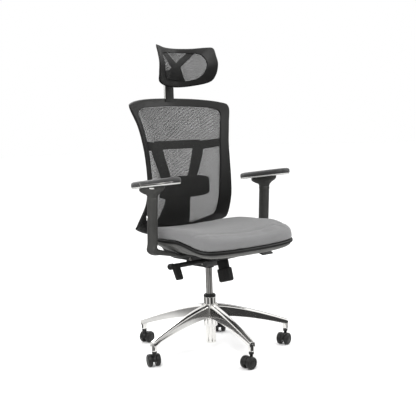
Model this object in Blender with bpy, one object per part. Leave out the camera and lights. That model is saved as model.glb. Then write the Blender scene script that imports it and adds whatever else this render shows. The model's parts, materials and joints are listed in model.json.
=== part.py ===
"""High-back mesh office chair: five-leg base, gas lift, synchro mechanism, arms and headrest.

Metres, +Z up. The origin is on the floor under the column and the chair faces -Y, so the
sitter's left is +X. Each rigid group of pieces hangs from an empty on its joint's axis.
"""

from math import cos, hypot, pi, radians, sin

import bmesh
import bpy
import numpy as np
from mathutils import Matrix, Vector

# Clearances
GAP = 0.0003  # between pieces that touch
RUN = 0.0004  # radial, round a turning or sliding piece
SHADE_ANGLE = radians(38)

# Base
STEM_CIRCLE = 0.325
LEG_ANGLES = (-85.5, -13.5, 58.5, 130.5, 202.5)  # degrees from the front towards +X
CASTOR_TURNS = (67.0, 180.0, -162.0, -139.0, 15.0)  # heading of each castor's trail, degrees
HUB_RADIUS = 0.0320
HUB_COLLAR_RADIUS = 0.0285
HUB_BOTTOM = 0.103
HUB_COLLAR_TOP = 0.139
HUB_TOP = 0.198
LEG_TIP_TOP = 0.104
LEG_TIP_DEPTH = 0.021
LEG_ROOT_DEPTH = 0.056
LEG_ROOT_HALF = 0.0190
LEG_TIP_HALF = 0.0125
LEG_ARCH = 1.45
LEG_SET_DOWN = 0.0023
SOCKET_RADIUS = 0.0115
SOCKET_BOTTOM = 0.0645

# Castors
WHEEL_RADIUS = 0.025
WHEEL_WIDTH = 0.0190
WEB_HALF = 0.0062
WHEEL_SIDE_GAP = 0.0006
TRAIL = 0.017
STEM_RADIUS = 0.0055
STEM_COLLAR_RADIUS = 0.0095
STEM_FOOT_RADIUS = 0.0035
STEM_COLLAR_HEIGHT = 0.0060
AXLE_RADIUS = 0.0030

# Gas lift
TUBE_RADIUS = 0.0250
TUBE_FOOT_RADIUS = 0.0210
TUBE_WALL = 0.0025
TUBE_BOTTOM = 0.032
TUBE_TOP = 0.227
CYLINDER_RADIUS = 0.0140
CYLINDER_BOTTOM = 0.150
CYLINDER_TOP = 0.392
BUSH_HEIGHT = 0.013
ROD_RADIUS = 0.0050
ROD_TOP = 0.262

# Mechanism
HOUSING_HALF = 0.055
HOUSING_WALL = 0.003
HOUSING_FRONT = -0.128
HOUSING_REAR = 0.078
HOUSING_FLOOR = 0.362
HOUSING_TOP = 0.4215
HOUSING_REAR_TOP = 0.396
COLLAR_RADIUS = 0.022
COLLAR_BOTTOM = 0.352
COLLAR_TOP = 0.384
TILT_AXLE = Vector((0.0, 0.050, 0.388))
TILT_AXLE_RADIUS = 0.006
SEAT_PIVOT = Vector((0.0, -0.110, 0.411))
SEAT_PIVOT_RADIUS = 0.005
LEVER_AXIS = Vector((0.0, -0.058, 0.394))
LEVER_JOURNAL_RADIUS = 0.007
LEVER_RADIUS = 0.011
KNOB_TOP = Vector((0.0, -0.087, 0.3905))
KNOB_LEAN = radians(14)
KNOB_SLEEVE_RADIUS = 0.0235
KNOB_SLEEVE_LENGTH = 0.034
KNOB_GRIP_RADIUS = 0.0305
KNOB_GRIP_LENGTH = 0.056
KNOB_BORE_RADIUS = 0.0185
SPRING_RADIUS = 0.0130
SPRING_WIRE = 0.0016
BOLT_RADIUS = 0.0050

# Seat
SEAT_HALF_WIDTH = 0.264
SEAT_FRONT = -0.300
SEAT_REAR = 0.188
BOARD_Z = 0.488
BOARD_DROP = 0.038
BOARD_THICKNESS = 0.012
SHELL_STRIP = 0.009  # the part of the shell's side that shows under the rim
SHELL_WALL = 0.004
SHELL_FLOOR = 0.432
CUSHION_TOP = 0.541
CUSHION_DISH = 0.015
CUSHION_FRONT_DROP = 0.020
RAIL_THICKNESS = 0.012

# Arms
ARM_X = SEAT_HALF_WIDTH + 0.046
SLEEVE_BOTTOM = Vector((0.0, -0.024, 0.490))
SLEEVE_TOP = Vector((0.0, -0.036, 0.670))
SLEEVE_HALF_X = 0.015
SLEEVE_HALF_Y = 0.027
POST_HALF_X = 0.0080
POST_HALF_Y = 0.0200
ARM_TAB_X = 0.092
ARM_TURN_SHARE = 0.8144  # of the seat's half width, where the arm turns in under the seat
ARM_FLAT_SHARE = 0.6629  # of the seat's half width, where the arm lies flat
ARM_TAB_HALF = 0.0068  # half thickness of the arm's bar under the seat
PAD_X = ARM_X - 0.008
PAD_REAR = 0.090
PAD_FRONT = -0.180
PAD_HALF_WIDTH = 0.044
PAD_REAR_Z = 0.700
PAD_TILT = radians(5.7)
PAD_PLATE_THICKNESS = 0.005
PAD_THICKNESS = 0.021
PAD_SQUARENESS = 3.2  # power of the pad's superellipse
HEAD_REACH = 0.066  # half length of the flange under the pad
HEAD_HALF_X = 0.026
BUTTON_HEIGHT = 0.590
BUTTON_HALF_WIDTH = 0.0045
BUTTON_HALF_HEIGHT = 0.0085
BUTTON_TRAVEL = 0.0025
BUTTON_AROUND = radians(50)  # round the sleeve's oval, from outboard to the rear

# Back
BACK_HALF_WIDTH = 0.271
BACK_BOTTOM = 0.474
BACK_HEIGHT = 0.592
BACK_FRONT = 0.082
FRAME_EDGE_DEPTH = 0.017
FRAME_LIP_DEPTH = 0.007
MESH_THICKNESS = 0.0015
MESH_TENSION = 0.056
SPINE_DEPTH = 0.014
BRACKET_DEPTH = 0.016
BRACKET_HALF = 0.040
BRACKET_NOSE = 0.011  # radius round the tilt axle
LUMBAR_THICKNESS = 0.013
LUMBAR_CLEARANCE = 0.007
LUMBAR_SHARE = 0.356  # height of its middle in the back
LUMBAR_HALF_HEIGHT = 0.047
LUMBAR_HALF_WIDTH = 0.137
LUMBAR_BLOCK = 0.020  # half height of the block that slides on the spine
LUMBAR_BLOCK_HALF = 0.030
POST_Y = BACK_FRONT + 0.140
POST_SOCKET_WALL = 0.006
HEAD_POST_HALF_X = 0.0225
HEAD_POST_HALF_Y = 0.0070

# Headrest
HEAD_HALF_WIDTH = 0.160
HEAD_BOTTOM = BACK_BOTTOM + BACK_HEIGHT + 0.042
HEAD_HEIGHT = 0.170
HEAD_FRONT = POST_Y - 0.062
HEAD_EDGE_DEPTH = 0.011
HEAD_LIP_DEPTH = 0.006
HEAD_BULGE = 0.010  # how far its mesh is drawn forward
HEAD_PIVOT = Vector((0.0, POST_Y - HEAD_POST_HALF_Y, HEAD_BOTTOM + 0.064))
HEAD_BARREL_RADIUS = 0.010
HEAD_PIN_RADIUS = 0.004
YOKE_THICKNESS = 0.010
YOKE_EAR = 0.007

# Half outlines, from the middle of the top to the middle of the bottom: each row holds the share
# of the half width, the distance behind the front and the share of the height.
FRAME_OUTER = (
    (0.000, 0.134, 1.000), (0.517, 0.112, 0.992), (0.880, 0.070, 0.968), (1.000, 0.046, 0.932),
    (0.922, 0.024, 0.803), (0.867, 0.013, 0.668), (0.849, 0.004, 0.533), (0.849, 0.000, 0.398),
    (0.871, 0.009, 0.263), (0.923, 0.053, 0.120), (0.860, 0.083, 0.078), (0.480, 0.123, 0.022),
    (0.000, 0.143, 0.000),
)
FRAME_INNER = (
    (0.000, 0.125, 0.939), (0.461, 0.106, 0.932), (0.738, 0.077, 0.919), (0.836, 0.059, 0.885),
    (0.797, 0.047, 0.803), (0.745, 0.039, 0.668), (0.720, 0.034, 0.533), (0.701, 0.035, 0.398),
    (0.697, 0.042, 0.263), (0.679, 0.063, 0.157), (0.613, 0.080, 0.122), (0.325, 0.115, 0.083),
    (0.000, 0.128, 0.066),
)
HEAD_OUTER = (
    (0.00, 0.000, 0.965), (0.45, -0.018, 0.970), (0.84, -0.052, 0.995), (0.97, -0.070, 0.970),
    (0.99, -0.083, 0.790), (1.00, -0.093, 0.560), (0.97, -0.083, 0.300), (0.86, -0.060, 0.120),
    (0.45, -0.018, 0.030), (0.00, 0.000, 0.000),
)
HEAD_INNER = (
    (0.00, -0.003, 0.840), (0.40, -0.018, 0.840), (0.62, -0.036, 0.820), (0.71, -0.050, 0.740),
    (0.73, -0.063, 0.630), (0.72, -0.066, 0.500), (0.66, -0.055, 0.340), (0.54, -0.036, 0.220),
    (0.30, -0.014, 0.170), (0.00, -0.003, 0.160),
)
SPINE_SIDE = (  # share of the back's height, distance behind the back's front
    (-0.037, 0.1645), (0.000, 0.1630), (0.069, 0.1420), (0.120, 0.1280), (0.179, 0.1130),
    (0.247, 0.0980), (0.449, 0.0800), (0.551, 0.0800), (0.703, 0.0840),
)
SPINE_LOWER = (  # share of the back's height, half width
    (-0.037, 0.050), (0.000, 0.075), (0.069, 0.092), (0.120, 0.088), (0.179, 0.078),
    (0.247, 0.068), (0.323, 0.075), (0.365, 0.085),
)
SPINE_LEGS = (  # share of the back's height, inner and outer half width
    (0.655, 0.086, 0.134), (0.601, 0.082, 0.138), (0.449, 0.054, 0.104), (0.348, 0.030, 0.084),
)
FRAME_ARM_KEYS = (9.52, 10.44)  # the points of the back's outline that the spine's arms reach
BAND_GAP = 0.0007  # level distance that keeps a foot clear of a band's sloping back
SEAT_PLAN = (  # share of the half width, share of the depth from the front
    (0.00, 0.000), (0.46, 0.012), (0.84, 0.060), (0.97, 0.130), (1.00, 0.220),
    (1.00, 0.410), (0.99, 0.610), (0.93, 0.780), (0.74, 0.915), (0.40, 0.985), (0.00, 1.000),
)

STEEL = (0.55, 0.55, 0.54, 1.0)
BLACK = (0.022, 0.021, 0.020, 1.0)
MATERIALS = {
    "polished_aluminium": ((0.62, 0.62, 0.61, 1.0), 0.18, 1.0),
    "chrome": ((0.70, 0.69, 0.66, 1.0), 0.10, 1.0),
    "silver_trim": ((0.62, 0.62, 0.60, 1.0), 0.22, 1.0),
    "steel": (STEEL, 0.35, 1.0),
    "black_plastic": (BLACK, 0.45, 0.0),
    "black_steel": ((0.05, 0.05, 0.05, 1.0), 0.40, 0.8),
    "grey_plastic": ((0.09, 0.09, 0.088, 1.0), 0.50, 0.0),
    "shell_grey": ((0.25, 0.25, 0.24, 1.0), 0.50, 0.0),
    "pad_black": ((0.03, 0.03, 0.029, 1.0), 0.55, 0.0),
    "seat_fabric": ((0.28, 0.28, 0.28, 1.0), 0.90, 0.0),
    "mesh_fabric": ((0.25, 0.25, 0.24, 1.0), 0.85, 0.0),
}


class Body:
    """A rigid group: an empty on its joint's axis, and what its pieces' points are taken from."""

    def __init__(self, name, place, parent=None, turn=0.0, local=False):
        self.empty = bpy.data.objects.new(name + "_pivot", None)
        bpy.context.scene.collection.objects.link(self.empty)
        self.empty.empty_display_size = 0.02
        base = parent.place if parent else Vector((0.0, 0.0, 0.0))
        self.place = Vector(place)
        self.empty.location = self.place - base
        self.empty.rotation_euler = (0.0, 0.0, turn)
        if parent:
            self.empty.parent = parent.empty
        if local:
            self.place = Vector((0.0, 0.0, 0.0))


def clear_scene():
    for old in list(bpy.data.objects):
        bpy.data.objects.remove(old, do_unlink=True)


def make_materials():
    made = {}
    for name, (colour, roughness, metallic) in MATERIALS.items():
        material = bpy.data.materials.new(name)
        material.use_nodes = True
        shader = material.node_tree.nodes["Principled BSDF"]
        shader.inputs["Base Color"].default_value = colour
        shader.inputs["Roughness"].default_value = roughness
        shader.inputs["Metallic"].default_value = metallic
        material.diffuse_color = colour
        made[name] = material
    return made


def solid(points, faces):
    """A temporary object from points and faces, with its faces turned outwards."""
    mesh = bpy.data.meshes.new("solid")
    mesh.from_pydata([tuple(p) for p in points], [], faces)
    work = bmesh.new()
    work.from_mesh(mesh)
    bmesh.ops.triangulate(work, faces=work.faces)
    bmesh.ops.recalc_face_normals(work, faces=work.faces)
    work.to_mesh(mesh)
    work.free()
    made = bpy.data.objects.new("solid", mesh)
    bpy.context.scene.collection.objects.link(made)
    return made


def combine(target, tool, operation):
    """Joins or cuts with an exact Boolean, and keeps the result as the target's mesh."""
    modifier = target.modifiers.new("combine", "BOOLEAN")
    modifier.operation = operation
    modifier.object = tool
    graph = bpy.context.evaluated_depsgraph_get()
    result = bpy.data.meshes.new_from_object(target.evaluated_get(graph))
    target.modifiers.clear()
    target.data = result
    bpy.data.objects.remove(tool, do_unlink=True)
    return target


def union(first, *others):
    for other in others:
        combine(first, other, "UNION")
    return first


def cut(first, *others):
    for other in others:
        combine(first, other, "DIFFERENCE")
    return first


def finish(made, name, material, body):
    """Names a piece, gives it its material and hangs it from its body's empty."""
    made.name = name
    made.data.name = name
    made.data.transform(Matrix.Translation(-body.place))
    made.parent = body.empty
    made.data.materials.clear()
    made.data.materials.append(PALETTE[material])
    made.data.shade_smooth()
    made.data.set_sharp_from_angle(angle=SHADE_ANGLE)
    return made


def tube_faces(rows, count, closed):
    """Quads between successive rows of count points, and round to the first row if closed."""
    faces = []
    for row in range(rows if closed else rows - 1):
        upper = (row + 1) % rows
        for step in range(count):
            after = (step + 1) % count
            faces.append((row * count + step, row * count + after, upper * count + after,
                          upper * count + step))
    return faces


def loft(rings):
    """A closed solid through rings of equally many points, with a fan at each end."""
    rings = np.asarray(rings, float)
    rows, count, _ = rings.shape
    points = list(rings.reshape(-1, 3)) + [rings[0].mean(axis=0), rings[-1].mean(axis=0)]
    faces = tube_faces(rows, count, closed=False)
    for step in range(count):
        after = (step + 1) % count
        faces.append((rows * count, after, step))
        faces.append((rows * count + 1, (rows - 1) * count + step, (rows - 1) * count + after))
    return solid(points, faces)


def ring_solid(sections):
    """A closed ring: sections of equally many points, joined round to the first one."""
    sections = np.asarray(sections, float)
    rows, count, _ = sections.shape
    return solid(sections.reshape(-1, 3), tube_faces(rows, count, closed=True))


def lathe(profile, segments, centre=(0.0, 0.0, 0.0), axis=(0.0, 0.0, 1.0), phase=0.0):
    """Turns (radius, height) points about an axis. The profile starts and ends on it, or closes."""
    turn = Vector((0.0, 0.0, 1.0)).rotation_difference(Vector(axis))
    on_axis = profile[0][0] == 0.0
    inner = profile[1:-1] if on_axis else profile
    points = []
    for radius, height in inner:
        for step in range(segments):
            angle = phase + 2 * pi * step / segments
            points.append((radius * cos(angle), radius * sin(angle), height))
    faces = tube_faces(len(inner), segments, closed=not on_axis)
    if on_axis:
        first, last = len(points), len(points) + 1
        points += [(0.0, 0.0, profile[0][1]), (0.0, 0.0, profile[-1][1])]
        top = (len(inner) - 1) * segments
        for step in range(segments):
            after = (step + 1) % segments
            faces.append((first, after, step))
            faces.append((last, top + step, top + after))
    base = Vector(centre)
    return solid([base + turn @ Vector(p) for p in points], faces)


def rod(start, end, radius, segments=16, phase=0.0):
    """A plain round bar between two points."""
    start, end = Vector(start), Vector(end)
    length = (end - start).length
    profile = [(0.0, 0.0), (radius, 0.0), (radius, length), (0.0, length)]
    return lathe(profile, segments, start, (end - start).normalized(), phase)


def bore(start, end, radius, segments=14):
    """A cutter for a round hole, turned a little so that its corners miss the solid's edges."""
    return rod(start, end, radius, segments, 0.1)


def box(low, high):
    """A plain box between two corners."""
    x0, y0, z0 = low
    x1, y1, z1 = high
    rows = [[(x0, y0, z), (x1, y0, z), (x1, y1, z), (x0, y1, z)] for z in (z0, z1)]
    return loft(rows)


def slab(outline, low_x, high_x):
    """Extrudes a (y, z) outline from one x to another."""
    count = len(outline)
    points = [(x, y, z) for x in (low_x, high_x) for y, z in outline]
    faces = [tuple(range(count)), tuple(range(2 * count - 1, count - 1, -1))]
    faces += [(i, (i + 1) % count, count + (i + 1) % count, count + i) for i in range(count)]
    return solid(points, faces)


def oval(centre, half_x, half_y, count=16, power=2.0, lean=0.0):
    """A superellipse in a level plane, leant about X so that a positive lean lifts its front."""
    ring = []
    for step in range(count):
        angle = 2 * pi * (step + 0.5) / count
        c, s = cos(angle), sin(angle)
        x = half_x * abs(c) ** (2 / power) * (1 if c > 0 else -1)
        y = half_y * abs(s) ** (2 / power) * (1 if s > 0 else -1)
        ring.append((centre[0] + x, centre[1] + y * cos(lean), centre[2] - y * sin(lean)))
    return ring


def smooth_loop(keys, samples):
    """A closed Catmull-Rom curve through the keys, with this many points for each key."""
    keys = np.asarray(keys, float)
    before, after, next_after = (np.roll(keys, shift, axis=0) for shift in (1, -1, -2))
    rows = []
    for step in range(samples):
        t = step / samples
        rows.append(0.5 * (2 * keys + (after - before) * t
                           + (2 * before - 5 * keys + 4 * after - next_after) * t**2
                           + (3 * keys - before - 3 * after + next_after) * t**3))
    return np.stack(rows, axis=1).reshape(-1, keys.shape[1])


def whole_loop(half):
    """Mirrors a half outline, which starts and ends on the middle plane, into a closed one."""
    half = np.asarray(half, float)
    mirrored = half[-2:0:-1] * np.array([-1.0] + [1.0] * (half.shape[1] - 1))
    return np.vstack([half, mirrored])


def outline(rows, half_width, front, bottom, height, samples):
    """The closed curve that a table of shares describes."""
    table = np.asarray(rows, float)
    keys = np.column_stack([table[:, 0] * half_width, front + table[:, 1],
                            bottom + table[:, 2] * height])
    return smooth_loop(whole_loop(keys), samples)


def band_sections(outer, inner, edge_depth, lip_depth):
    """Cross-sections of a moulded band from its outer edge in to its lip."""
    inward = (inner - outer) / np.linalg.norm(inner - outer, axis=1)[:, None]
    back = np.array([0.0, 1.0, 0.0])
    return np.stack([
        outer + inward * 0.005,
        outer + inward * 0.001 + back * 0.003,
        outer + back * edge_depth,
        inner + back * lip_depth,
        inner,
    ], axis=1)


def band_back(outer, inner, edge_depth, lip_depth, index, share):
    """A point on the back of the band: share 0 is at its lip and 1 at its outer edge."""
    back = Vector((0.0, 1.0, 0.0))
    lip = between_points(inner, index) + back * lip_depth
    edge = between_points(outer, index) + back * edge_depth
    return lip.lerp(edge, share)


def between_points(loop, index):
    """A point of a loop, or one part of the way to the next."""
    first = int(index)
    return Vector(loop[first]).lerp(Vector(loop[first + 1]), index - first)


def stretched_mesh(loop, corner, side, samples, tension):
    """A sheet across a closed lip: a Coons patch between its four sides, pulled forward."""
    steps = 2 * corner * samples
    total = len(loop)
    top = np.array([loop[(-corner * samples + i) % total] for i in range(steps + 1)])
    low = (side * samples) % total
    bottom = np.array([loop[(total - low - i) % total] for i in range(steps + 1)])
    count = low - corner * samples
    right = np.array([loop[corner * samples + i] for i in range(count + 1)])
    left = np.array([loop[(-corner * samples - i) % total] for i in range(count + 1)])
    u = np.linspace(0, 1, steps + 1)[None, :, None]
    v = np.linspace(0, 1, count + 1)[:, None, None]
    ruled = (1 - v) * top[None] + v * bottom[None] + (1 - u) * left[:, None] + u * right[:, None]
    corners = ((1 - v) * ((1 - u) * top[0] + u * top[-1])
               + v * ((1 - u) * bottom[0] + u * bottom[-1]))
    sheet = ruled - corners
    pull = tension * np.sin(pi * u) * np.clip(np.sin(pi * v), 0, 1) ** 0.8
    sheet[..., 1] -= pull[..., 0]
    return sheet


def sheet_solid(sheet, thickness):
    """Gives a grid of points a thickness along +Y."""
    rows, count, _ = sheet.shape
    back = sheet + np.array([0.0, thickness, 0.0])
    points = np.vstack([sheet.reshape(-1, 3), back.reshape(-1, 3)])
    index = np.arange(rows * count).reshape(rows, count)
    faces = []
    for r in range(rows - 1):
        for c in range(count - 1):
            quad = (index[r, c], index[r, c + 1], index[r + 1, c + 1], index[r + 1, c])
            faces.append(tuple(int(i) for i in quad))
            faces.append(tuple(int(i) + rows * count for i in quad[::-1]))
    edge = list(index[0, :]) + list(index[1:, -1]) + list(index[-1, -2::-1])
    edge += list(index[-2:0:-1, 0])
    for here, after in zip(edge, edge[1:] + edge[:1]):
        faces.append((int(here), int(after), int(after) + rows * count, int(here) + rows * count))
    return solid(points, faces)


def sweep(stations):
    """A bar through stations of (x, y, z, half width along X, depth), each a section whose front
    edge is at the point and whose depth runs back, square to the path in the Y-Z plane."""
    rings = []
    for place, (x, y, z, half, depth) in enumerate(stations):
        before = stations[max(place - 1, 0)]
        after = stations[min(place + 1, len(stations) - 1)]
        run_y, run_z = after[1] - before[1], after[2] - before[2]
        length = hypot(run_y, run_z)
        back_y, back_z = run_z / length * depth, -run_y / length * depth
        if back_y < 0:
            back_y, back_z = -back_y, -back_z
        rings.append([(x - half, y, z), (x + half, y, z), (x + half, y + back_y, z + back_z),
                      (x - half, y + back_y, z + back_z)])
    return loft(rings)


def level_bar(left, right, depth):
    """A bar between two pairs of (upper, lower) front points, with its depth along +Y."""
    back = Vector((0.0, depth, 0.0))
    rings = []
    for upper, lower in (left, right):
        upper, lower = Vector(upper), Vector(lower)
        rings.append([upper, lower, lower + back, upper + back])
    return loft(rings)


# Base and castors


def leg_place(number):
    angle = radians(LEG_ANGLES[number])
    return Vector((sin(angle), -cos(angle), 0.0))


def leg(number):
    """One arched leg, from inside the hub to just past its castor's stem."""
    out = leg_place(number)
    across = Vector((-out.y, out.x, 0.0))
    start, end = 0.87 * HUB_RADIUS, STEM_CIRCLE + SOCKET_RADIUS - 0.0007
    rings = []
    for step in range(7):
        share = step / 6
        reach = start + (end - start) * share
        root = HUB_TOP - LEG_SET_DOWN
        top = root - (root - LEG_TIP_TOP) * (0.25 * share + 0.75 * share**LEG_ARCH)
        depth = LEG_ROOT_DEPTH + (LEG_TIP_DEPTH - LEG_ROOT_DEPTH) * share**0.8
        half = LEG_ROOT_HALF + (LEG_TIP_HALF - LEG_ROOT_HALF) * share
        ring = []
        for side, drop in ((-0.45, 0.0), (0.45, 0.0), (0.85, 0.18), (1.0, 1.0), (-1.0, 1.0),
                           (-0.85, 0.18)):
            ring.append(out * reach + across * side * half + Vector((0, 0, top - drop * depth)))
        rings.append(ring)
    return loft(rings)


def tube_outer_radius(height):
    """The pressure tube tapers from its foot up to the top of the hub."""
    share = (height - HUB_BOTTOM) / (HUB_TOP - HUB_BOTTOM)
    return TUBE_FOOT_RADIUS + (TUBE_RADIUS - TUBE_FOOT_RADIUS) * min(max(share, 0.0), 1.0)


def build_base(base):
    wall = HUB_COLLAR_RADIUS
    low, high = tube_outer_radius(HUB_BOTTOM) + GAP, TUBE_RADIUS + GAP
    hub = lathe([(0.0, HUB_BOTTOM), (wall, HUB_BOTTOM), (wall, HUB_COLLAR_TOP),
                 (HUB_RADIUS, HUB_COLLAR_TOP + 0.004), (HUB_RADIUS, HUB_TOP), (0.0, HUB_TOP)], 24)
    star = union(hub, *[leg(number) for number in range(5)])
    for number in range(5):
        stem = leg_place(number) * STEM_CIRCLE
        top = LEG_TIP_TOP - 0.3 * LEG_TIP_DEPTH
        union(star, rod(stem + Vector((0, 0, SOCKET_BOTTOM)), stem + Vector((0, 0, top)),
                        SOCKET_RADIUS, 12))
    slack = 0.01
    cut(star, lathe([(0.0, HUB_BOTTOM - slack), (low, HUB_BOTTOM - slack), (low, HUB_BOTTOM),
                     (high, HUB_TOP), (high, HUB_TOP + slack), (0.0, HUB_TOP + slack)], 24,
                    phase=0.1))
    for number in range(5):
        stem = leg_place(number) * STEM_CIRCLE
        cut(star, bore(stem + Vector((0, 0, SOCKET_BOTTOM - slack)),
                      stem + Vector((0, 0, stem_top() + 0.001)), STEM_RADIUS + RUN, 12))
    finish(star, "base_star", "polished_aluminium", base)


def stem_top():
    return LEG_TIP_TOP - 0.007


def castor_body(number):
    place = leg_place(number) * STEM_CIRCLE
    return Body(f"castor_{number + 1}", place, turn=radians(CASTOR_TURNS[number]), local=True)


def build_castor(number):
    """Built round its stem's axis, with the wheels trailing along its own +X."""
    body = castor_body(number)
    name = f"castor_{number + 1}_"
    axle = Vector((TRAIL, 0.0, WHEEL_RADIUS))
    boss_top = SOCKET_BOTTOM - STEM_COLLAR_HEIGHT - 2 * GAP
    arc = WHEEL_RADIUS - 0.0012
    foot = AXLE_RADIUS + 0.0045
    web = [(axle.x + arc * cos(radians(a)), axle.z + arc * sin(radians(a)))
           for a in range(0, 181, 20)]
    web += [(axle.x + foot * cos(radians(a)), axle.z + foot * sin(radians(a)))
            for a in range(205, 336, 43)]
    points = [(x, y, z) for y in (-WEB_HALF, WEB_HALF) for x, z in web]
    count = len(web)
    faces = [tuple(range(count)), tuple(range(2 * count - 1, count - 1, -1))]
    faces += [(i, (i + 1) % count, count + (i + 1) % count, count + i) for i in range(count)]
    hood = solid(points, faces)
    union(hood, rod((0, 0, WHEEL_RADIUS), (0, 0, boss_top), WEB_HALF - 0.0002, 8))
    union(hood, rod((0, 0, 2 * WHEEL_RADIUS + 0.001), (0, 0, boss_top), STEM_COLLAR_RADIUS, 10))
    foot_bottom = WHEEL_RADIUS + 0.006
    cut(hood, bore((0, 0, foot_bottom - GAP), (0, 0, boss_top + 0.01), STEM_FOOT_RADIUS + GAP, 8))
    reach = WEB_HALF + 0.01
    cut(hood, bore(axle - Vector((0, reach, 0)), axle + Vector((0, reach, 0)),
                  AXLE_RADIUS + GAP, 10))
    finish(hood, name + "hood", "black_plastic", body)

    collar_top = SOCKET_BOTTOM - GAP
    collar = boss_top + GAP
    stem = lathe([(0.0, foot_bottom), (STEM_FOOT_RADIUS, foot_bottom), (STEM_FOOT_RADIUS, collar),
                  (STEM_COLLAR_RADIUS, collar), (STEM_COLLAR_RADIUS, collar_top),
                  (STEM_RADIUS, collar_top), (STEM_RADIUS, stem_top()), (0.0, stem_top())], 8)
    finish(stem, name + "stem", "black_steel", body)

    wheel_inner = WEB_HALF + WHEEL_SIDE_GAP
    bore_depth = 0.7 * WHEEL_WIDTH
    axle_half = wheel_inner + bore_depth - 0.001
    pin = rod(axle - Vector((0, axle_half, 0)), axle + Vector((0, axle_half, 0)), AXLE_RADIUS, 8)
    finish(pin, name + "axle", "steel", body)

    for side, label in ((-1, "left"), (1, "right")):
        wheel = Body(name + "wheel_" + label, axle, body, local=True)
        hole = AXLE_RADIUS + RUN
        edge = 0.0045
        profile = [(0.0, bore_depth), (hole, bore_depth), (hole, 0.0),
                   (WHEEL_RADIUS, 0.0),
                   (WHEEL_RADIUS, WHEEL_WIDTH - edge), (WHEEL_RADIUS - edge, WHEEL_WIDTH),
                   (0.0, WHEEL_WIDTH)]
        made = lathe(profile, 18, (0.0, side * wheel_inner, 0.0), (0.0, side, 0.0))
        finish(made, name + "wheel_" + label, "black_plastic", wheel)


# Gas lift


def build_gas_lift(base, turning, lift):
    hollow = TUBE_FOOT_RADIUS - TUBE_WALL
    mouth = TUBE_RADIUS - TUBE_WALL
    floor = TUBE_BOTTOM + 0.004
    tube = lathe([
        (0.0, floor), (hollow, floor), (hollow, HUB_BOTTOM), (mouth, HUB_TOP), (mouth, TUBE_TOP),
        (TUBE_RADIUS, TUBE_TOP), (TUBE_RADIUS, HUB_TOP), (TUBE_FOOT_RADIUS, HUB_BOTTOM),
        (TUBE_FOOT_RADIUS, TUBE_BOTTOM), (0.0, TUBE_BOTTOM),
    ], 20)
    finish(tube, "gas_outer_tube", "chrome", base)

    inner, outer = CYLINDER_RADIUS + RUN, mouth - GAP
    seat = TUBE_TOP + GAP
    bush = lathe([
        (inner, HUB_TOP), (outer, HUB_TOP), (outer, seat), (TUBE_RADIUS + 0.0005, seat),
        (TUBE_RADIUS + 0.0005, TUBE_TOP + BUSH_HEIGHT - 0.003),
        (CYLINDER_RADIUS + 0.006, TUBE_TOP + BUSH_HEIGHT), (inner, TUBE_TOP + BUSH_HEIGHT),
    ], 20)
    finish(bush, "gas_guide_bush", "black_plastic", base)

    piston = lathe([(0.0, floor + GAP), (0.011, floor + GAP), (0.011, floor + 0.008),
                    (ROD_RADIUS, floor + 0.008), (ROD_RADIUS, ROD_TOP), (0.0, ROD_TOP)], 12)
    finish(piston, "gas_piston_rod", "steel", turning)

    hole = ROD_RADIUS + RUN
    bore_top = CYLINDER_TOP - 0.016
    cylinder = lathe([
        (0.0, bore_top), (hole, bore_top), (hole, CYLINDER_BOTTOM),
        (CYLINDER_RADIUS, CYLINDER_BOTTOM), (CYLINDER_RADIUS, CYLINDER_TOP - 0.004),
        (CYLINDER_RADIUS - 0.003, CYLINDER_TOP), (0.0, CYLINDER_TOP),
    ], 20)
    finish(cylinder, "gas_cylinder", "steel", lift)


# Mechanism


def knob_axis():
    return Vector((0.0, -sin(KNOB_LEAN), -cos(KNOB_LEAN)))


def knob_plane(y, lift=0.0):
    """Height, at this y, of the plane that the knob's mouth faces."""
    return KNOB_TOP.z + (KNOB_TOP.y - y) * sin(KNOB_LEAN) / cos(KNOB_LEAN) + lift


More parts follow.
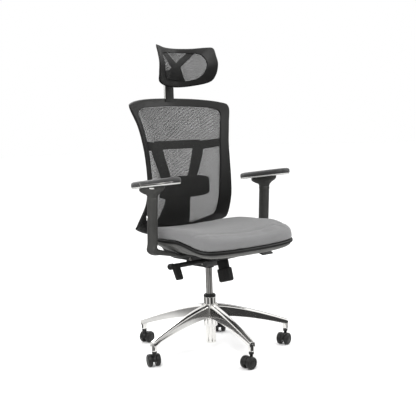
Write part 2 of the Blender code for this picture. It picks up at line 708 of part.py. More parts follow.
def build_mechanism(body):
    wall = HOUSING_WALL
    shelf = KNOB_TOP.y + KNOB_SLEEVE_RADIUS + 0.0085
    step = COLLAR_RADIUS + 0.023
    flat = SEAT_PIVOT.y + 0.02
    shape = [(HOUSING_FRONT, HOUSING_TOP), (flat, HOUSING_TOP), (HOUSING_REAR, HOUSING_REAR_TOP),
             (HOUSING_REAR, HOUSING_FLOOR), (-step, HOUSING_FLOOR),
             (shelf, knob_plane(shelf)), (HOUSING_FRONT, knob_plane(HOUSING_FRONT))]
    above, behind = HOUSING_TOP + 0.01, HOUSING_REAR + 0.01
    front = HOUSING_FRONT + wall
    hollow = [(front, above), (behind, above), (behind, HOUSING_FLOOR + wall),
              (-step + 0.002, HOUSING_FLOOR + wall), (shelf + 0.002, knob_plane(shelf, wall)),
              (front, knob_plane(front, wall))]
    housing = slab(shape, -HOUSING_HALF, HOUSING_HALF)
    inside = HOUSING_HALF - wall
    cut(housing, slab(hollow, -inside, inside))
    union(housing, rod((0, 0, COLLAR_BOTTOM), (0, 0, COLLAR_TOP), COLLAR_RADIUS, 20))
    for side in (-1, 1):
        start = Vector((side * (HOUSING_HALF - 0.001), SEAT_PIVOT.y, SEAT_PIVOT.z))
        end = Vector((side * (rail_inner() + RAIL_THICKNESS), SEAT_PIVOT.y, SEAT_PIVOT.z))
        union(housing, rod(start, end, SEAT_PIVOT_RADIUS, 10))
    across = Vector((HOUSING_HALF + 0.01, 0.0, 0.0))
    cut(housing, bore((0, 0, COLLAR_BOTTOM - 0.01), (0, 0, COLLAR_TOP + 0.01),
                     CYLINDER_RADIUS + GAP, 20))
    cut(housing, bore(TILT_AXLE - across, TILT_AXLE + across, TILT_AXLE_RADIUS + GAP, 10))
    cut(housing, bore(LEVER_AXIS - across, LEVER_AXIS + across, LEVER_JOURNAL_RADIUS + RUN, 12))
    down = knob_axis()
    cut(housing, bore(KNOB_TOP - down * 0.012, KNOB_TOP + down * 0.01, BOLT_RADIUS + RUN, 12))
    finish(housing, "mechanism_housing", "black_steel", body)

    reach = Vector((rail_inner() - 2 * GAP, 0.0, 0.0))
    pin = rod(TILT_AXLE - reach, TILT_AXLE + reach, TILT_AXLE_RADIUS, 10)
    finish(pin, "tilt_axle", "steel", body)


def knob_depths():
    """Along the knob's axis: its grip's start, its end and the floor of its bore."""
    end = KNOB_SLEEVE_LENGTH + KNOB_GRIP_LENGTH
    return KNOB_SLEEVE_LENGTH, end, end - 0.012


def build_tension(body, knob_body):
    down = knob_axis()
    grip, end, floor = knob_depths()
    mouth = GAP
    knob = lathe([
        (0.0, floor), (KNOB_BORE_RADIUS, floor), (KNOB_BORE_RADIUS, mouth),
        (KNOB_SLEEVE_RADIUS, mouth), (KNOB_SLEEVE_RADIUS, grip),
        (KNOB_GRIP_RADIUS - 0.002, grip), (KNOB_GRIP_RADIUS, grip + 0.003),
        (KNOB_GRIP_RADIUS, end - 0.006), (KNOB_GRIP_RADIUS - 0.006, end), (0.0, end),
    ], 20, KNOB_TOP, down)
    finish(knob, "tension_knob", "black_plastic", knob_body)

    head = HOUSING_WALL + 0.0013
    bolt = lathe([
        (0.0, -head - 0.005), (0.009, -head - 0.005), (0.009, -head), (BOLT_RADIUS, -head),
        (BOLT_RADIUS, floor - GAP), (0.0, floor - GAP),
    ], 12, KNOB_TOP, down)
    finish(bolt, "tension_bolt", "steel", body)

    turns, per_turn, around = 5, 8, 4
    first, last = 2 * SPRING_WIRE, floor - SPRING_WIRE - 0.0006
    side = Vector((1.0, 0.0, 0.0))
    other = down.cross(side)
    rings = []
    for step in range(turns * per_turn + 1):
        angle = 2 * pi * step / per_turn
        out = side * cos(angle) + other * sin(angle)
        centre = KNOB_TOP + down * (first + (last - first) * step / (turns * per_turn))
        centre = centre + out * SPRING_RADIUS
        rings.append([centre + out * SPRING_WIRE * cos(2 * pi * k / around)
                      + down * SPRING_WIRE * sin(2 * pi * k / around) for k in range(around)])
    finish(loft(rings), "tension_spring", "steel", body)


def build_levers(height_body, tilt_body):
    axis = Vector((-1.0, 0.0, 0.0))
    profile = [(0.0, 0.035), (LEVER_JOURNAL_RADIUS, 0.035), (LEVER_JOURNAL_RADIUS, 0.075),
               (LEVER_RADIUS - 0.001, 0.075), (LEVER_RADIUS - 0.001, 0.240),
               (LEVER_RADIUS + 0.0015, 0.242), (LEVER_RADIUS + 0.0015, 0.258),
               (LEVER_RADIUS - 0.003, 0.262), (0.0, 0.262)]
    height = lathe(profile, 16, LEVER_AXIS, axis)
    y, z = LEVER_AXIS.y, LEVER_AXIS.z
    paddle = slab([(y + 0.008, z + 0.002), (y - 0.009, z + 0.004), (y - 0.030, z - 0.046),
                   (y - 0.027, z - 0.053), (y - 0.018, z - 0.052)], -0.242, -0.212)
    union(height, paddle)
    finish(height, "height_lever", "black_plastic", height_body)

    profile = [(0.0, 0.035), (LEVER_JOURNAL_RADIUS, 0.035), (LEVER_JOURNAL_RADIUS, 0.075),
               (0.0055, 0.077), (0.0055, 0.250), (0.0, 0.250)]
    tilt = lathe(profile, 14, LEVER_AXIS, (1.0, 0.0, 0.0))
    blade = slab([(y + 0.012, z + 0.003), (y - 0.004, z + 0.005), (y - 0.030, z - 0.010),
                  (y - 0.030, z - 0.016), (y + 0.010, z - 0.004)], 0.236, 0.300)
    union(tilt, blade)
    finish(tilt, "tilt_lever", "black_plastic", tilt_body)


def rail_inner():
    return HOUSING_HALF + 0.005


def build_seat_carrier(body):
    top = SHELL_FLOOR - GAP
    pivot = SEAT_PIVOT
    low = top - 0.0155
    ends = (pivot.y - 0.018, 0.100)
    shape = [(ends[0], top), (ends[1], top), (ends[1], low), (pivot.y + 0.024, low),
             (pivot.y + 0.014, pivot.z - 0.009), (ends[0], pivot.z - 0.009)]
    inner = rail_inner()
    rails = [slab(shape, side * inner, side * (inner + RAIL_THICKNESS)) for side in (-1, 1)]
    bridge = box((-inner - 0.002, ends[0], HOUSING_TOP + 0.002),
                 (inner + 0.002, pivot.y + 0.002, top))
    carrier = union(rails[0], bridge, rails[1])
    reach = Vector((inner + 0.03, 0.0, 0.0))
    cut(carrier, bore(pivot - reach, pivot + reach, SEAT_PIVOT_RADIUS + RUN, 12))
    finish(carrier, "seat_carrier", "black_steel", body)


# Seat


def ease(value):
    value = np.clip(value, 0.0, 1.0)
    return value * value * (3 - 2 * value)


def board_height(y):
    """The board is level at the rear and falls away to the front edge."""
    run = 0.42 * (SEAT_REAR - SEAT_FRONT)
    return BOARD_Z - BOARD_DROP * ease((SEAT_FRONT + run - y) / run)


def cushion_height(x, y):
    """The cushion's top: dished between its sides and falling to the front."""
    run = 0.34 * (SEAT_REAR - SEAT_FRONT)
    fall = CUSHION_FRONT_DROP * ease((SEAT_FRONT + run - y) / run)
    rear = 0.010 * ease((y - SEAT_REAR + run) / run)
    return CUSHION_TOP - fall - rear - CUSHION_DISH * (1 - (x / SEAT_HALF_WIDTH) ** 2)


def seat_ring(share, height):
    """The seat's plan outline, shrunk towards its middle, at a height that depends on x and y."""
    depth = SEAT_REAR - SEAT_FRONT
    table = np.asarray(SEAT_PLAN, float)
    keys = np.column_stack([table[:, 0] * SEAT_HALF_WIDTH, SEAT_FRONT + table[:, 1] * depth])
    loop = smooth_loop(whole_loop(keys), 2)
    middle = np.array([0.0, 0.5 * (SEAT_FRONT + SEAT_REAR)])
    loop = middle + (loop - middle) * share
    return np.column_stack([loop, height(loop[:, 0], loop[:, 1])])


def seat_layers(rows):
    """A solid from rows of (share of the plan, height of x and y), from its bottom to its top."""
    return loft([seat_ring(share, height) for share, height in rows])


def build_seat(body):
    shares = (0.05, 0.4, 0.7, 0.97)

    def board_at(lift):
        return lambda x, y: board_height(y) + lift

    def level(z):
        return lambda x, y: np.full_like(x, z)

    skirt = SHELL_STRIP + 0.009
    outside = [(0.04, level(SHELL_FLOOR)), (0.62, level(SHELL_FLOOR)), (0.92, board_at(-skirt)),
               (0.965, board_at(-SHELL_STRIP - GAP)), (0.97, board_at(-GAP))]
    inside = [(0.945, board_at(-GAP)), (0.90, board_at(-skirt + SHELL_WALL + 0.001)),
              (0.60, level(SHELL_FLOOR + SHELL_WALL)), (0.04, level(SHELL_FLOOR + SHELL_WALL))]
    finish(seat_layers(outside + inside), "seat_shell", "shell_grey", body)

    rows = [(share, board_at(0.0)) for share in shares]
    rows += [(1.0, board_at(0.001)), (1.0, board_at(BOARD_THICKNESS - 0.001))]
    rows += [(share, board_at(BOARD_THICKNESS)) for share in reversed(shares)]
    finish(seat_layers(rows), "seat_rim", "black_plastic", body)

    base = BOARD_THICKNESS + GAP

    def side(share, along):
        return (share, lambda x, y: board_height(y) + base
                + along * (cushion_height(x, y) - board_height(y) - base))

    rows = [(share, board_at(base)) for share in shares]
    rows += [side(0.995, 0.06), side(1.0, 0.35), side(0.997, 0.65), side(0.975, 0.90)]
    rows += [(share, cushion_height) for share in (0.93, 0.7, 0.4, 0.05)]
    finish(seat_layers(rows), "seat_cushion", "seat_fabric", body)


# Arms


def along_post(height, side):
    """A point on the axis of the leaning post."""
    share = (height - SLEEVE_BOTTOM.z) / (SLEEVE_TOP.z - SLEEVE_BOTTOM.z)
    place = SLEEVE_BOTTOM.lerp(SLEEVE_TOP, share)
    return Vector((side * ARM_X, place.y, height))


def pad_bottom(y):
    """Height of the plane under the pad's plate."""
    return PAD_REAR_Z + (PAD_REAR - y) * sin(PAD_TILT) / cos(PAD_TILT)


def pad_ring(side, shrink, lift, front_shrink=0.0):
    """The pad's plan outline at a height above its lower plane."""
    middle = 0.5 * (PAD_FRONT + PAD_REAR)
    half = 0.5 * (PAD_REAR - PAD_FRONT)
    ring = []
    for x, y, _ in oval((0, 0, 0), PAD_HALF_WIDTH - shrink, half - shrink, 20,
                        PAD_SQUARENESS):
        taper = 1.0 - 0.16 * max(y / half, 0.0) - front_shrink * max(-y / half, 0.0)
        place = middle + y
        ring.append((side * (PAD_X + x * taper), place, pad_bottom(place) + lift))
    return ring


def button_place(side):
    """The button's middle on the sleeve's skin, and its outward direction."""
    axis = along_post(BUTTON_HEIGHT, side)
    c, s = cos(BUTTON_AROUND), sin(BUTTON_AROUND)
    skin = axis + Vector((side * SLEEVE_HALF_X * c, SLEEVE_HALF_Y * s, 0.0))
    out = Vector((side * c / SLEEVE_HALF_X, s / SLEEVE_HALF_Y, 0.0)).normalized()
    return skin, out


def capsule(centre, out, half_width, half_height, low, high):
    """An upright oval bar along a level direction."""
    across = Vector((-out.y, out.x, 0.0))
    rings = []
    for reach in (low, high):
        ring = []
        for step in range(12):
            angle = 2 * pi * step / 12
            ring.append(centre + out * reach + across * half_width * cos(angle)
                        + Vector((0, 0, half_height * sin(angle))))
        rings.append(ring)
    return loft(rings)


def build_arm(side, label, seat, post_body, pad_body, button_body):
    top, bottom = SLEEVE_TOP.z, SLEEVE_BOTTOM.z
    rings = [oval(along_post(z, side), SLEEVE_HALF_X, SLEEVE_HALF_Y) for z in (top, bottom)]
    tab_top = SHELL_FLOOR - GAP
    y = SLEEVE_BOTTOM.y
    turn = ((0.004, bottom - 0.020, 0.0170, 0.6), (-0.008, bottom - 0.0335, 0.0150, 0.95),
            (-0.030, bottom - 0.038, 0.0110, 1.35))
    for offset, z, half, tip in turn:
        rings.append(bar_ring(side, ARM_X + offset, y, z, half, 0.026, tip))
    level, half = tab_top - ARM_TAB_HALF, ARM_TAB_HALF
    turn_in, flat = ARM_TURN_SHARE * SEAT_HALF_WIDTH, ARM_FLAT_SHARE * SEAT_HALF_WIDTH
    rings.append(bar_ring(side, turn_in, y, level + 0.011, half + 0.0017, 0.026, 1.30))
    rings.append(bar_ring(side, flat, y, level, half, 0.026, pi / 2))
    rings.append(bar_ring(side, ARM_TAB_X, y, level, half, 0.026, pi / 2))
    sleeve = loft(rings)
    post_bottom = bottom + 0.022
    cut(sleeve, loft([oval(along_post(z, side), POST_HALF_X + RUN, POST_HALF_Y + RUN)
                      for z in (post_bottom - 0.001, top + 0.005)]))
    skin, out = button_place(side)
    cut(sleeve, capsule(skin, out, BUTTON_HALF_WIDTH + RUN, BUTTON_HALF_HEIGHT + RUN,
                        -0.003 - BUTTON_TRAVEL - GAP, 0.01))
    finish(sleeve, f"arm_sleeve_{label}", "grey_plastic", seat)

    button = capsule(skin, out, BUTTON_HALF_WIDTH, BUTTON_HALF_HEIGHT, -0.003, 0.003)
    finish(button, f"arm_button_{label}", "silver_trim", button_body)

    rings = [oval(along_post(z, side), POST_HALF_X, POST_HALF_Y) for z in (post_bottom, top + GAP)]
    crown = along_post(top, side)
    x = crown.x
    middle = crown.y + 0.002
    rings.append(oval((x, crown.y, top + GAP), SLEEVE_HALF_X, SLEEVE_HALF_Y))
    rings.append(oval((x, crown.y, top + 0.006), SLEEVE_HALF_X + 0.001, SLEEVE_HALF_Y + 0.001))
    rings.append(oval((x, middle, top + 0.018), 0.020, 0.044, lean=PAD_TILT))
    under = pad_bottom(middle) - GAP
    for z in (under - 0.012, under):
        rings.append(oval((x, middle, z), HEAD_HALF_X, HEAD_REACH, power=3.0, lean=PAD_TILT))
    finish(loft(rings), f"arm_post_{label}", "grey_plastic", post_body)

    plate = loft([pad_ring(side, 0.004, 0.0), pad_ring(side, 0.0015, 0.002),
                  pad_ring(side, 0.0015, PAD_PLATE_THICKNESS)])
    finish(plate, f"arm_pad_plate_{label}", "silver_trim", pad_body)
    base = PAD_PLATE_THICKNESS + GAP
    pad = loft([pad_ring(side, 0.002, base), pad_ring(side, 0.0, base + 0.003),
                pad_ring(side, 0.0, base + 0.6 * PAD_THICKNESS),
                pad_ring(side, 0.004, base + 0.88 * PAD_THICKNESS),
                pad_ring(side, 0.014, base + PAD_THICKNESS)])
    finish(pad, f"arm_pad_{label}", "pad_black", pad_body)


def bar_ring(side, x, y, z, half_thick, half_y, tip):
    """An oval section of the arm's bar, tipped from level (0) to upright (a quarter turn)."""
    ring = []
    for px, py, _ in oval((0, 0, 0), half_thick, half_y, power=2.0 + tip):
        out = px * side
        ring.append((side * (x + out * cos(tip)), y + py, z - out * sin(tip)))
    return ring


# Back


def build_back(body, samples=2):
    outer = outline(FRAME_OUTER, BACK_HALF_WIDTH, BACK_FRONT, BACK_BOTTOM, BACK_HEIGHT, samples)
    inner = outline(FRAME_INNER, BACK_HALF_WIDTH, BACK_FRONT, BACK_BOTTOM, BACK_HEIGHT, samples)
    frame = ring_solid(band_sections(outer, inner, FRAME_EDGE_DEPTH, FRAME_LIP_DEPTH))
    socket_top = BACK_BOTTOM + BACK_HEIGHT - 0.003
    socket_low = inner[0][2] + 0.001
    front = inner[0][1] + FRAME_LIP_DEPTH - 0.003
    back = POST_Y + HEAD_POST_HALF_Y + POST_SOCKET_WALL
    half = HEAD_POST_HALF_X + POST_SOCKET_WALL
    union(frame, box((-half, front, socket_low), (half, back, socket_top)))
    cut(frame, box((-HEAD_POST_HALF_X - RUN, POST_Y - HEAD_POST_HALF_Y - RUN, socket_low - 0.03),
                   (HEAD_POST_HALF_X + RUN, POST_Y + HEAD_POST_HALF_Y + RUN, socket_top + 0.03)))
    finish(frame, "back_frame", "black_plastic", body)

    inward = (inner - outer) / np.linalg.norm(inner - outer, axis=1)[:, None]
    lip = inner + inward * 2 * GAP + np.array([0.0, 0.0025, 0.0])
    sheet = stretched_mesh(lip, 3, 9, samples, MESH_TENSION)
    finish(sheet_solid(sheet, MESH_THICKNESS), "back_mesh", "mesh_fabric", body)
    return outer, inner, sheet


def sheet_y(sheet, x, z):
    """The sheet's own y at a point of its front view, read from its nearest row and column."""
    rows = np.abs(sheet[:, sheet.shape[1] // 2, 2] - z).argmin()
    row = sheet[rows]
    return float(np.interp(x, row[:, 0], row[:, 1]))


def back_z(share):
    return BACK_BOTTOM + share * BACK_HEIGHT


def spine_front(z):
    """The front of the spine in side view: upright behind the waist, sloping back low down."""
    heights = [back_z(share) for share, _ in SPINE_SIDE]
    fronts = [BACK_FRONT + behind for _, behind in SPINE_SIDE]
    return float(np.interp(z, heights, fronts))


def build_spine(body, outer, inner):
    """A lower blade, two legs, a bar and two short arms out to the frame, each set a little
    deeper than the last so that no two faces are level where they join."""
    depth = SPINE_DEPTH

    def at(x, share):
        z = back_z(share)
        return Vector((x, spine_front(z) - 0.0012, z))

    lower = sweep([(0.0, spine_front(back_z(share)), back_z(share), half, depth)
                   for share, half in SPINE_LOWER])
    parts = [level_bar((at(-0.118, 0.693), at(-0.124, 0.632)), (at(0.118, 0.693), at(0.124, 0.632)),
                       depth)]
    for side in (-1, 1):
        legs = []
        for share, low, high in SPINE_LEGS:
            z = back_z(share)
            front, rear = spine_front(z) + 0.0011, spine_front(z) + depth + 0.0013
            legs.append([(side * low, front, z), (side * high, front, z), (side * high, rear, z),
                         (side * low, rear, z)])
        parts.append(loft(legs))
        high, low = FRAME_ARM_KEYS
        foot = [band_foot(outer, inner, key, share, side)
                for key, share in ((high, 0.05), (high, 0.60), (low, 0.60), (low, 0.05))]
        back = Vector((side * -0.004, 0.009, 0.0))
        upper, lower_root = at(side * 0.118, 0.682), at(side * 0.130, 0.618)
        inset, deep = Vector((0, 0.0017, 0)), Vector((0, depth - 0.0031, 0))
        near = [upper + inset, upper + deep, lower_root + deep, lower_root + inset]
        tip = [foot[0], foot[1] + back, foot[2] + back, foot[3]]
        far = [foot[1], foot[1] + back, foot[2] + back, foot[2]]
        parts.append(loft([near, tip, far]))
    finish(union(lower, *parts), "back_spine", "black_plastic", body)


def band_foot(outer, inner, index, share, side):
    """A point just behind the back frame's band."""
    place = band_back(outer, inner, FRAME_EDGE_DEPTH, FRAME_LIP_DEPTH, index, share)
    return Vector((side * place.x, place.y + BAND_GAP, place.z))


def build_lumbar(body, sheet):
    """A curved pad behind the mesh, on a block that slides on the spine."""
    middle = back_z(LUMBAR_SHARE)
    rings = []
    for column in np.linspace(-1, 1, 9):
        x = LUMBAR_HALF_WIDTH * column
        rise = LUMBAR_HALF_HEIGHT * (1 - 0.10 * column**2 - 0.14 * column**8)
        front = lumbar_front(sheet, x)
        ring = [(x, front + lift, middle + rise * share) for share, lift in
                ((-1, 0.006), (-0.7, 0.001), (0, 0), (0.7, 0.001), (1, 0.006))]
        ring += [(x, front + LUMBAR_THICKNESS, middle + rise * share) for share in (1, 0, -1)]
        rings.append(ring)
    pad = loft(rings)
    front = lumbar_front(sheet, 0.0) + 0.008
    half = LUMBAR_BLOCK_HALF
    rings = []
    for z in (middle - LUMBAR_BLOCK, middle + LUMBAR_BLOCK):
        face = spine_front(z) - RUN
        rings.append([(-half, front, z), (half, front, z), (half, face, z), (-half, face, z)])
    union(pad, loft(rings))
    finish(pad, "lumbar_pad", "black_plastic", body)


def lumbar_front(sheet, x):
    """The pad's front follows the mesh, a clearance behind it."""
    return sheet_y(sheet, x, back_z(LUMBAR_SHARE)) + MESH_THICKNESS + LUMBAR_CLEARANCE


# Headrest


def build_headrest(post_body, head_body, samples=2):
    post_low = back_z(FRAME_INNER[0][2]) + 0.001
    pivot = HEAD_PIVOT
    post = box((-HEAD_POST_HALF_X, POST_Y - HEAD_POST_HALF_Y, post_low),
               (HEAD_POST_HALF_X, POST_Y + HEAD_POST_HALF_Y, pivot.z))
    half = Vector((HEAD_POST_HALF_X, 0.0, 0.0))
    union(post, rod(pivot - half, pivot + half, HEAD_BARREL_RADIUS, 16))
    reach = half * 2
    cut(post, bore(pivot - reach, pivot + reach, HEAD_PIN_RADIUS + RUN, 10))
    finish(post, "headrest_post", "black_plastic", post_body)

    outer = outline(HEAD_OUTER, HEAD_HALF_WIDTH, HEAD_FRONT, HEAD_BOTTOM, HEAD_HEIGHT, samples)
    inner = outline(HEAD_INNER, HEAD_HALF_WIDTH, HEAD_FRONT, HEAD_BOTTOM, HEAD_HEIGHT, samples)
    ring = ring_solid(band_sections(outer, inner, HEAD_EDGE_DEPTH, HEAD_LIP_DEPTH))
    finish(ring, "headrest_frame", "black_plastic", head_body)

    inward = (inner - outer) / np.linalg.norm(inner - outer, axis=1)[:, None]
    lip = inner + inward * 2 * GAP + np.array([0.0, 0.0020, 0.0])
    sheet = stretched_mesh(lip, 2, 7, samples, 0.0)
    sheet[..., 1] -= head_bulge(sheet)
    finish(sheet_solid(sheet, MESH_THICKNESS), "headrest_mesh", "mesh_fabric", head_body)
    build_yoke(head_body, outer, inner)


def head_bulge(sheet):
    """The headrest's mesh is drawn forward between its top and its bottom."""
    v = np.linspace(0, 1, sheet.shape[0])[:, None]
    u = np.linspace(0, 1, sheet.shape[1])[None, :]
    return HEAD_BULGE * np.sin(pi * v) * np.sin(pi * u)


def build_yoke(body, outer, inner):
    """A plate behind the headrest with two arms up to its band and two ears round the post."""
    pivot = HEAD_PIVOT
    behind = pivot.y - 0.055
    thick = YOKE_THICKNESS

    def plate(rows):
        return loft([[(-half, y, z), (half, y, z), (half, y + thick, z), (-half, y + thick, z)]
                     for z, half, y in rows])

    def foot(index, share, side=1):
        place = band_back(outer, inner, HEAD_EDGE_DEPTH, HEAD_LIP_DEPTH, index, share)
        return (side * place.x, place.y + BAND_GAP, place.z)

    _, foot_y, low_z = foot(len(outer) // 2, 0.35)
    yoke = plate([(low_z, 0.058, foot_y), (pivot.z - 0.040, 0.056, behind + 0.006),
                  (pivot.z - 0.024, 0.043, behind + 0.003), (pivot.z, 0.031, behind),
                  (pivot.z + 0.033, 0.021, behind)])
    parts = []
    for side in (-1, 1):
        inset = 0.0007 + 0.0004 * side
        deep = thick - 2.1 * inset
        crown, shoulder = pivot.z + 0.0345 + inset, pivot.z + 0.018
        near = ((side * -0.006, behind + inset, crown), (side * 0.0205, behind + inset, shoulder))
        far = (foot(2, 0.55, side), foot(3, 0.45, side))
        rings = []
        for (x0, y0, z0), (x1, y1, z1) in (near, far):
            rings.append([(x0, y0, z0), (x1, y1, z1), (x1, y1 + deep, z1), (x0, y0 + deep, z0)])
        parts.append(loft(rings))
        inside = HEAD_POST_HALF_X + 2 * RUN
        ear = slab([(behind + 0.004, pivot.z + 0.012), (pivot.y, pivot.z + 0.010),
                    (pivot.y + 0.009, pivot.z), (pivot.y, pivot.z - 0.010),
                    (behind + 0.004, pivot.z - 0.020)], side * inside, side * (inside + YOKE_EAR))
        stub = rod((side * (inside - 0.010), pivot.y, pivot.z),
                   (side * (inside + 0.002), pivot.y, pivot.z), HEAD_PIN_RADIUS, 10)
        parts += [ear, stub]
    finish(union(yoke, *parts), "headrest_yoke", "black_plastic", body)


def build_bracket(body):
    """The arm from the axle back under the seat and up to the foot of the spine."""
    axle = TILT_AXLE
    nose = BRACKET_NOSE
    foot = back_z(SPINE_SIDE[0][0])
    top = foot - GAP
    y0 = spine_front(foot)
    upper = [(axle.y, axle.z + nose), (y0 - 0.0765, axle.z + nose + 0.001), (y0 - 0.0315, foot - 0.046),
             (y0 - 0.0065, foot - 0.027), (y0, top)]
    lower = [(y0 + BRACKET_DEPTH, top), (y0 + 0.0135, foot - 0.034), (y0 - 0.0165, foot - 0.063),
             (y0 - 0.0715, axle.z - 0.010), (axle.y, axle.z - nose)]
    around = [(axle.y + nose * cos(radians(a)), axle.z + nose * sin(radians(a)))
              for a in (-130, -170, 150, 120)]
    arm = slab(upper + lower + around, -BRACKET_HALF, BRACKET_HALF)
    inside = HOUSING_HALF - HOUSING_WALL - 2 * GAP
    union(arm, rod((-inside, axle.y, axle.z), (inside, axle.y, axle.z), nose, 16))
    reach = Vector((inside + 0.01, 0.0, 0.0))
    cut(arm, bore(axle - reach, axle + reach, TILT_AXLE_RADIUS + RUN, 12))
    finish(arm, "back_bracket", "black_steel", body)


def main():
    clear_scene()
    PALETTE.update(make_materials())
    base = Body("base", (0, 0, 0))
    turning = Body("column_turn", (0, 0, TUBE_BOTTOM), base)
    lift = Body("mechanism", (0, 0, TUBE_TOP), turning)
    knob = Body("tension_knob", KNOB_TOP, lift)
    height = Body("height_lever", LEVER_AXIS, lift)
    tilt = Body("tilt_lever", LEVER_AXIS, lift)
    seat = Body("seat", SEAT_PIVOT, lift)
    back = Body("back", TILT_AXLE, lift)
    waist = back_z(LUMBAR_SHARE)
    lumbar = Body("lumbar", (0, spine_front(waist), waist), back)
    head_post = Body("headrest_post", (0, POST_Y, BACK_BOTTOM + BACK_HEIGHT), back)
    head = Body("headrest", HEAD_PIVOT, head_post)

    build_base(base)
    for number in range(5):
        build_castor(number)
    build_gas_lift(base, turning, lift)
    build_mechanism(lift)
    build_tension(lift, knob)
    build_levers(height, tilt)
    build_seat_carrier(seat)
    build_seat(seat)
    for side, label in ((1, "left"), (-1, "right")):
        post = Body("arm_post_" + label, along_post(SLEEVE_TOP.z, side), seat)
        pad = Body("arm_pad_" + label, (side * PAD_X, 0.0, pad_bottom(0.0)), post)
        button = Body("arm_button_" + label, button_place(side)[0], seat)
        build_arm(side, label, seat, post, pad, button)
    outer, inner, sheet = build_back(back)
    build_spine(back, outer, inner)
    build_bracket(back)
    build_lumbar(lumbar, sheet)
    build_headrest(head_post, head)


PALETTE = {}

if __name__ == "__main__":
    main()
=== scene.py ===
"""The looks of a high-back mesh office chair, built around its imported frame.

Run as a script in Blender 4.5. Every size and place comes from the frame's own boxes, in metres,
+Z up, with the chair facing -Y. New pieces are numpy surfaces: rings of points carried along a
path, or grids of two parameters. Each finished piece sits at the origin, its place in its mesh.
"""

import json
from math import cos, pi, radians, sin

import bmesh
import bpy
import numpy as np
from mathutils import Matrix, Vector


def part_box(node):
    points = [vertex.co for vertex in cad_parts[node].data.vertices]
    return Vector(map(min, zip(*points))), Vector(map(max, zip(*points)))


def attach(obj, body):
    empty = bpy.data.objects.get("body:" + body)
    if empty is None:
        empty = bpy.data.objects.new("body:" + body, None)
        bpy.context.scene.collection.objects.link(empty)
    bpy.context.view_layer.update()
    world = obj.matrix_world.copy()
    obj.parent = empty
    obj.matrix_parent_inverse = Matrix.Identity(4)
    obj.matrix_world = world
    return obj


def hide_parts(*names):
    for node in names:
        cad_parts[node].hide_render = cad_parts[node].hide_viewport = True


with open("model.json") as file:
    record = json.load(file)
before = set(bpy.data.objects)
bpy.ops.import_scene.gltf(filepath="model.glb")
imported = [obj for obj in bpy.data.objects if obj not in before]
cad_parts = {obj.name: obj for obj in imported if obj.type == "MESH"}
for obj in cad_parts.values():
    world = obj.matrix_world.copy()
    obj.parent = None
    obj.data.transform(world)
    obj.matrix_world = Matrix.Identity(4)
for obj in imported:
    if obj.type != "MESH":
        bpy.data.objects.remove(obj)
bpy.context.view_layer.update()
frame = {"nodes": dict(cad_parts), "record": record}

bl_info = {
    "name": "Mesh office chair",
    "version": (1, 0, 0),
    "blender": (4, 5, 0),
    "location": "View3D > Sidebar > Chair",
    "description": "Builds the visible pieces of a mesh office chair around its frame",
    "category": "Object",
}

# Places read from the frame


def corners(node):
    """The lowest and highest corner of a frame node, as arrays."""
    low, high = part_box(node)
    return np.array(low), np.array(high)


def joint(name):
    """The frame's own description of a joint."""
    return next(j for j in frame["record"]["behaviour"]["joints"] if j["name"] == name)


GAP = 0.0003
CREASE, WIDE_CREASE, FLAT_CREASE = 40, 45, 30  # degrees, past which an edge is drawn sharp
CASTORS = range(1, 6)
SIDES = ((-1, "left"), (1, "right"))
HUB_ABOVE_FOOT = 0.071  # from the pressure tube's end to the hub
HEAD_SETBACK = 0.055  # from the headrest's front to its pivot
HEAD_BAND = (0.011, 0.006)  # depth of the headrest's ring, outside and inside
FLOOR_REACH = 30
LIGHTS = (  # name, place, size and power
    ("key_panel", (-2.4, -1.5, 2.9), 1.5, 70.0),
    ("side_panel", (2.7, -1.5, 1.9), 1.3, 26.0),
    ("rear_panel", (0.4, 2.8, 2.4), 1.6, 36.0),
)
SHELL_LOW, _ = corners("seat_shell")
RIM_LOW, RIM_HIGH = corners("seat_rim")
_, CUSHION_HIGH = corners("seat_cushion")
BACK_LOW, BACK_HIGH = corners("back_frame")
HEAD_LOW, HEAD_HIGH = corners("headrest_frame")
POST_LOW, POST_HIGH = corners("headrest_post")
STAR_LOW, STAR_HIGH = corners("base_star")
TUBE_LOW, TUBE_HIGH = corners("gas_outer_tube")
_, BUSH_HIGH = corners("gas_guide_bush")
CYLINDER_LOW, CYLINDER_HIGH = corners("gas_cylinder")
_, HOUSING_HIGH = corners("mechanism_housing")
LEVER_LOW, _ = corners("height_lever")
_, TILT_HIGH = corners("tilt_lever")
_, SLEEVE_HIGH = corners("arm_sleeve_left")
PAD_LOW, PAD_HIGH = corners("arm_pad_left")
PLATE_LOW, _ = corners("arm_pad_plate_left")
LUMBAR_LOW, LUMBAR_HIGH = corners("lumbar_pad")

SEAT_HALF = RIM_HIGH[0] - 0.0007
SEAT_FRONT, SEAT_REAR = RIM_LOW[1], RIM_HIGH[1]
BOARD_Z = RIM_HIGH[2] - 0.012
BOARD_DROP = BOARD_Z - RIM_LOW[2]
BACK_HALF = BACK_HIGH[0]
BACK_BOTTOM, BACK_TOP = BACK_LOW[2], BACK_HIGH[2]
BACK_FRONT = BACK_LOW[1] - 0.0033
HEAD_HALF = HEAD_HIGH[0]
HEAD_BOTTOM = HEAD_LOW[2]
POST_Y = 0.5 * (POST_LOW[1] + 0.003 + POST_HIGH[1])
KNOB_TOP = np.array(joint("tension_knob_turn")["pos_m"])
KNOB_DOWN = np.array(joint("tension_knob_turn")["axis"])
LEVER_AXIS = np.array(joint("height_lever_lift")["pos_m"])
HEAD_PIVOT = np.array(joint("headrest_tilt")["pos_m"])
TILT_AXLE = np.array(joint("recline")["pos_m"])
SLEEVE_REACH = 0.0356  # across the leaning sleeve, from its inner to its outer side
SLEEVE_LENGTH, SLEEVE_Y = 0.180, -0.024
SLEEVE_HALVES = (0.015, 0.027)
BAR_TURN, BAR_FLAT, BAR_END = 0.215, 0.175, 0.092  # places across, along the arm's bar
ARM_X = SLEEVE_HIGH[0] - 0.5 * SLEEVE_REACH
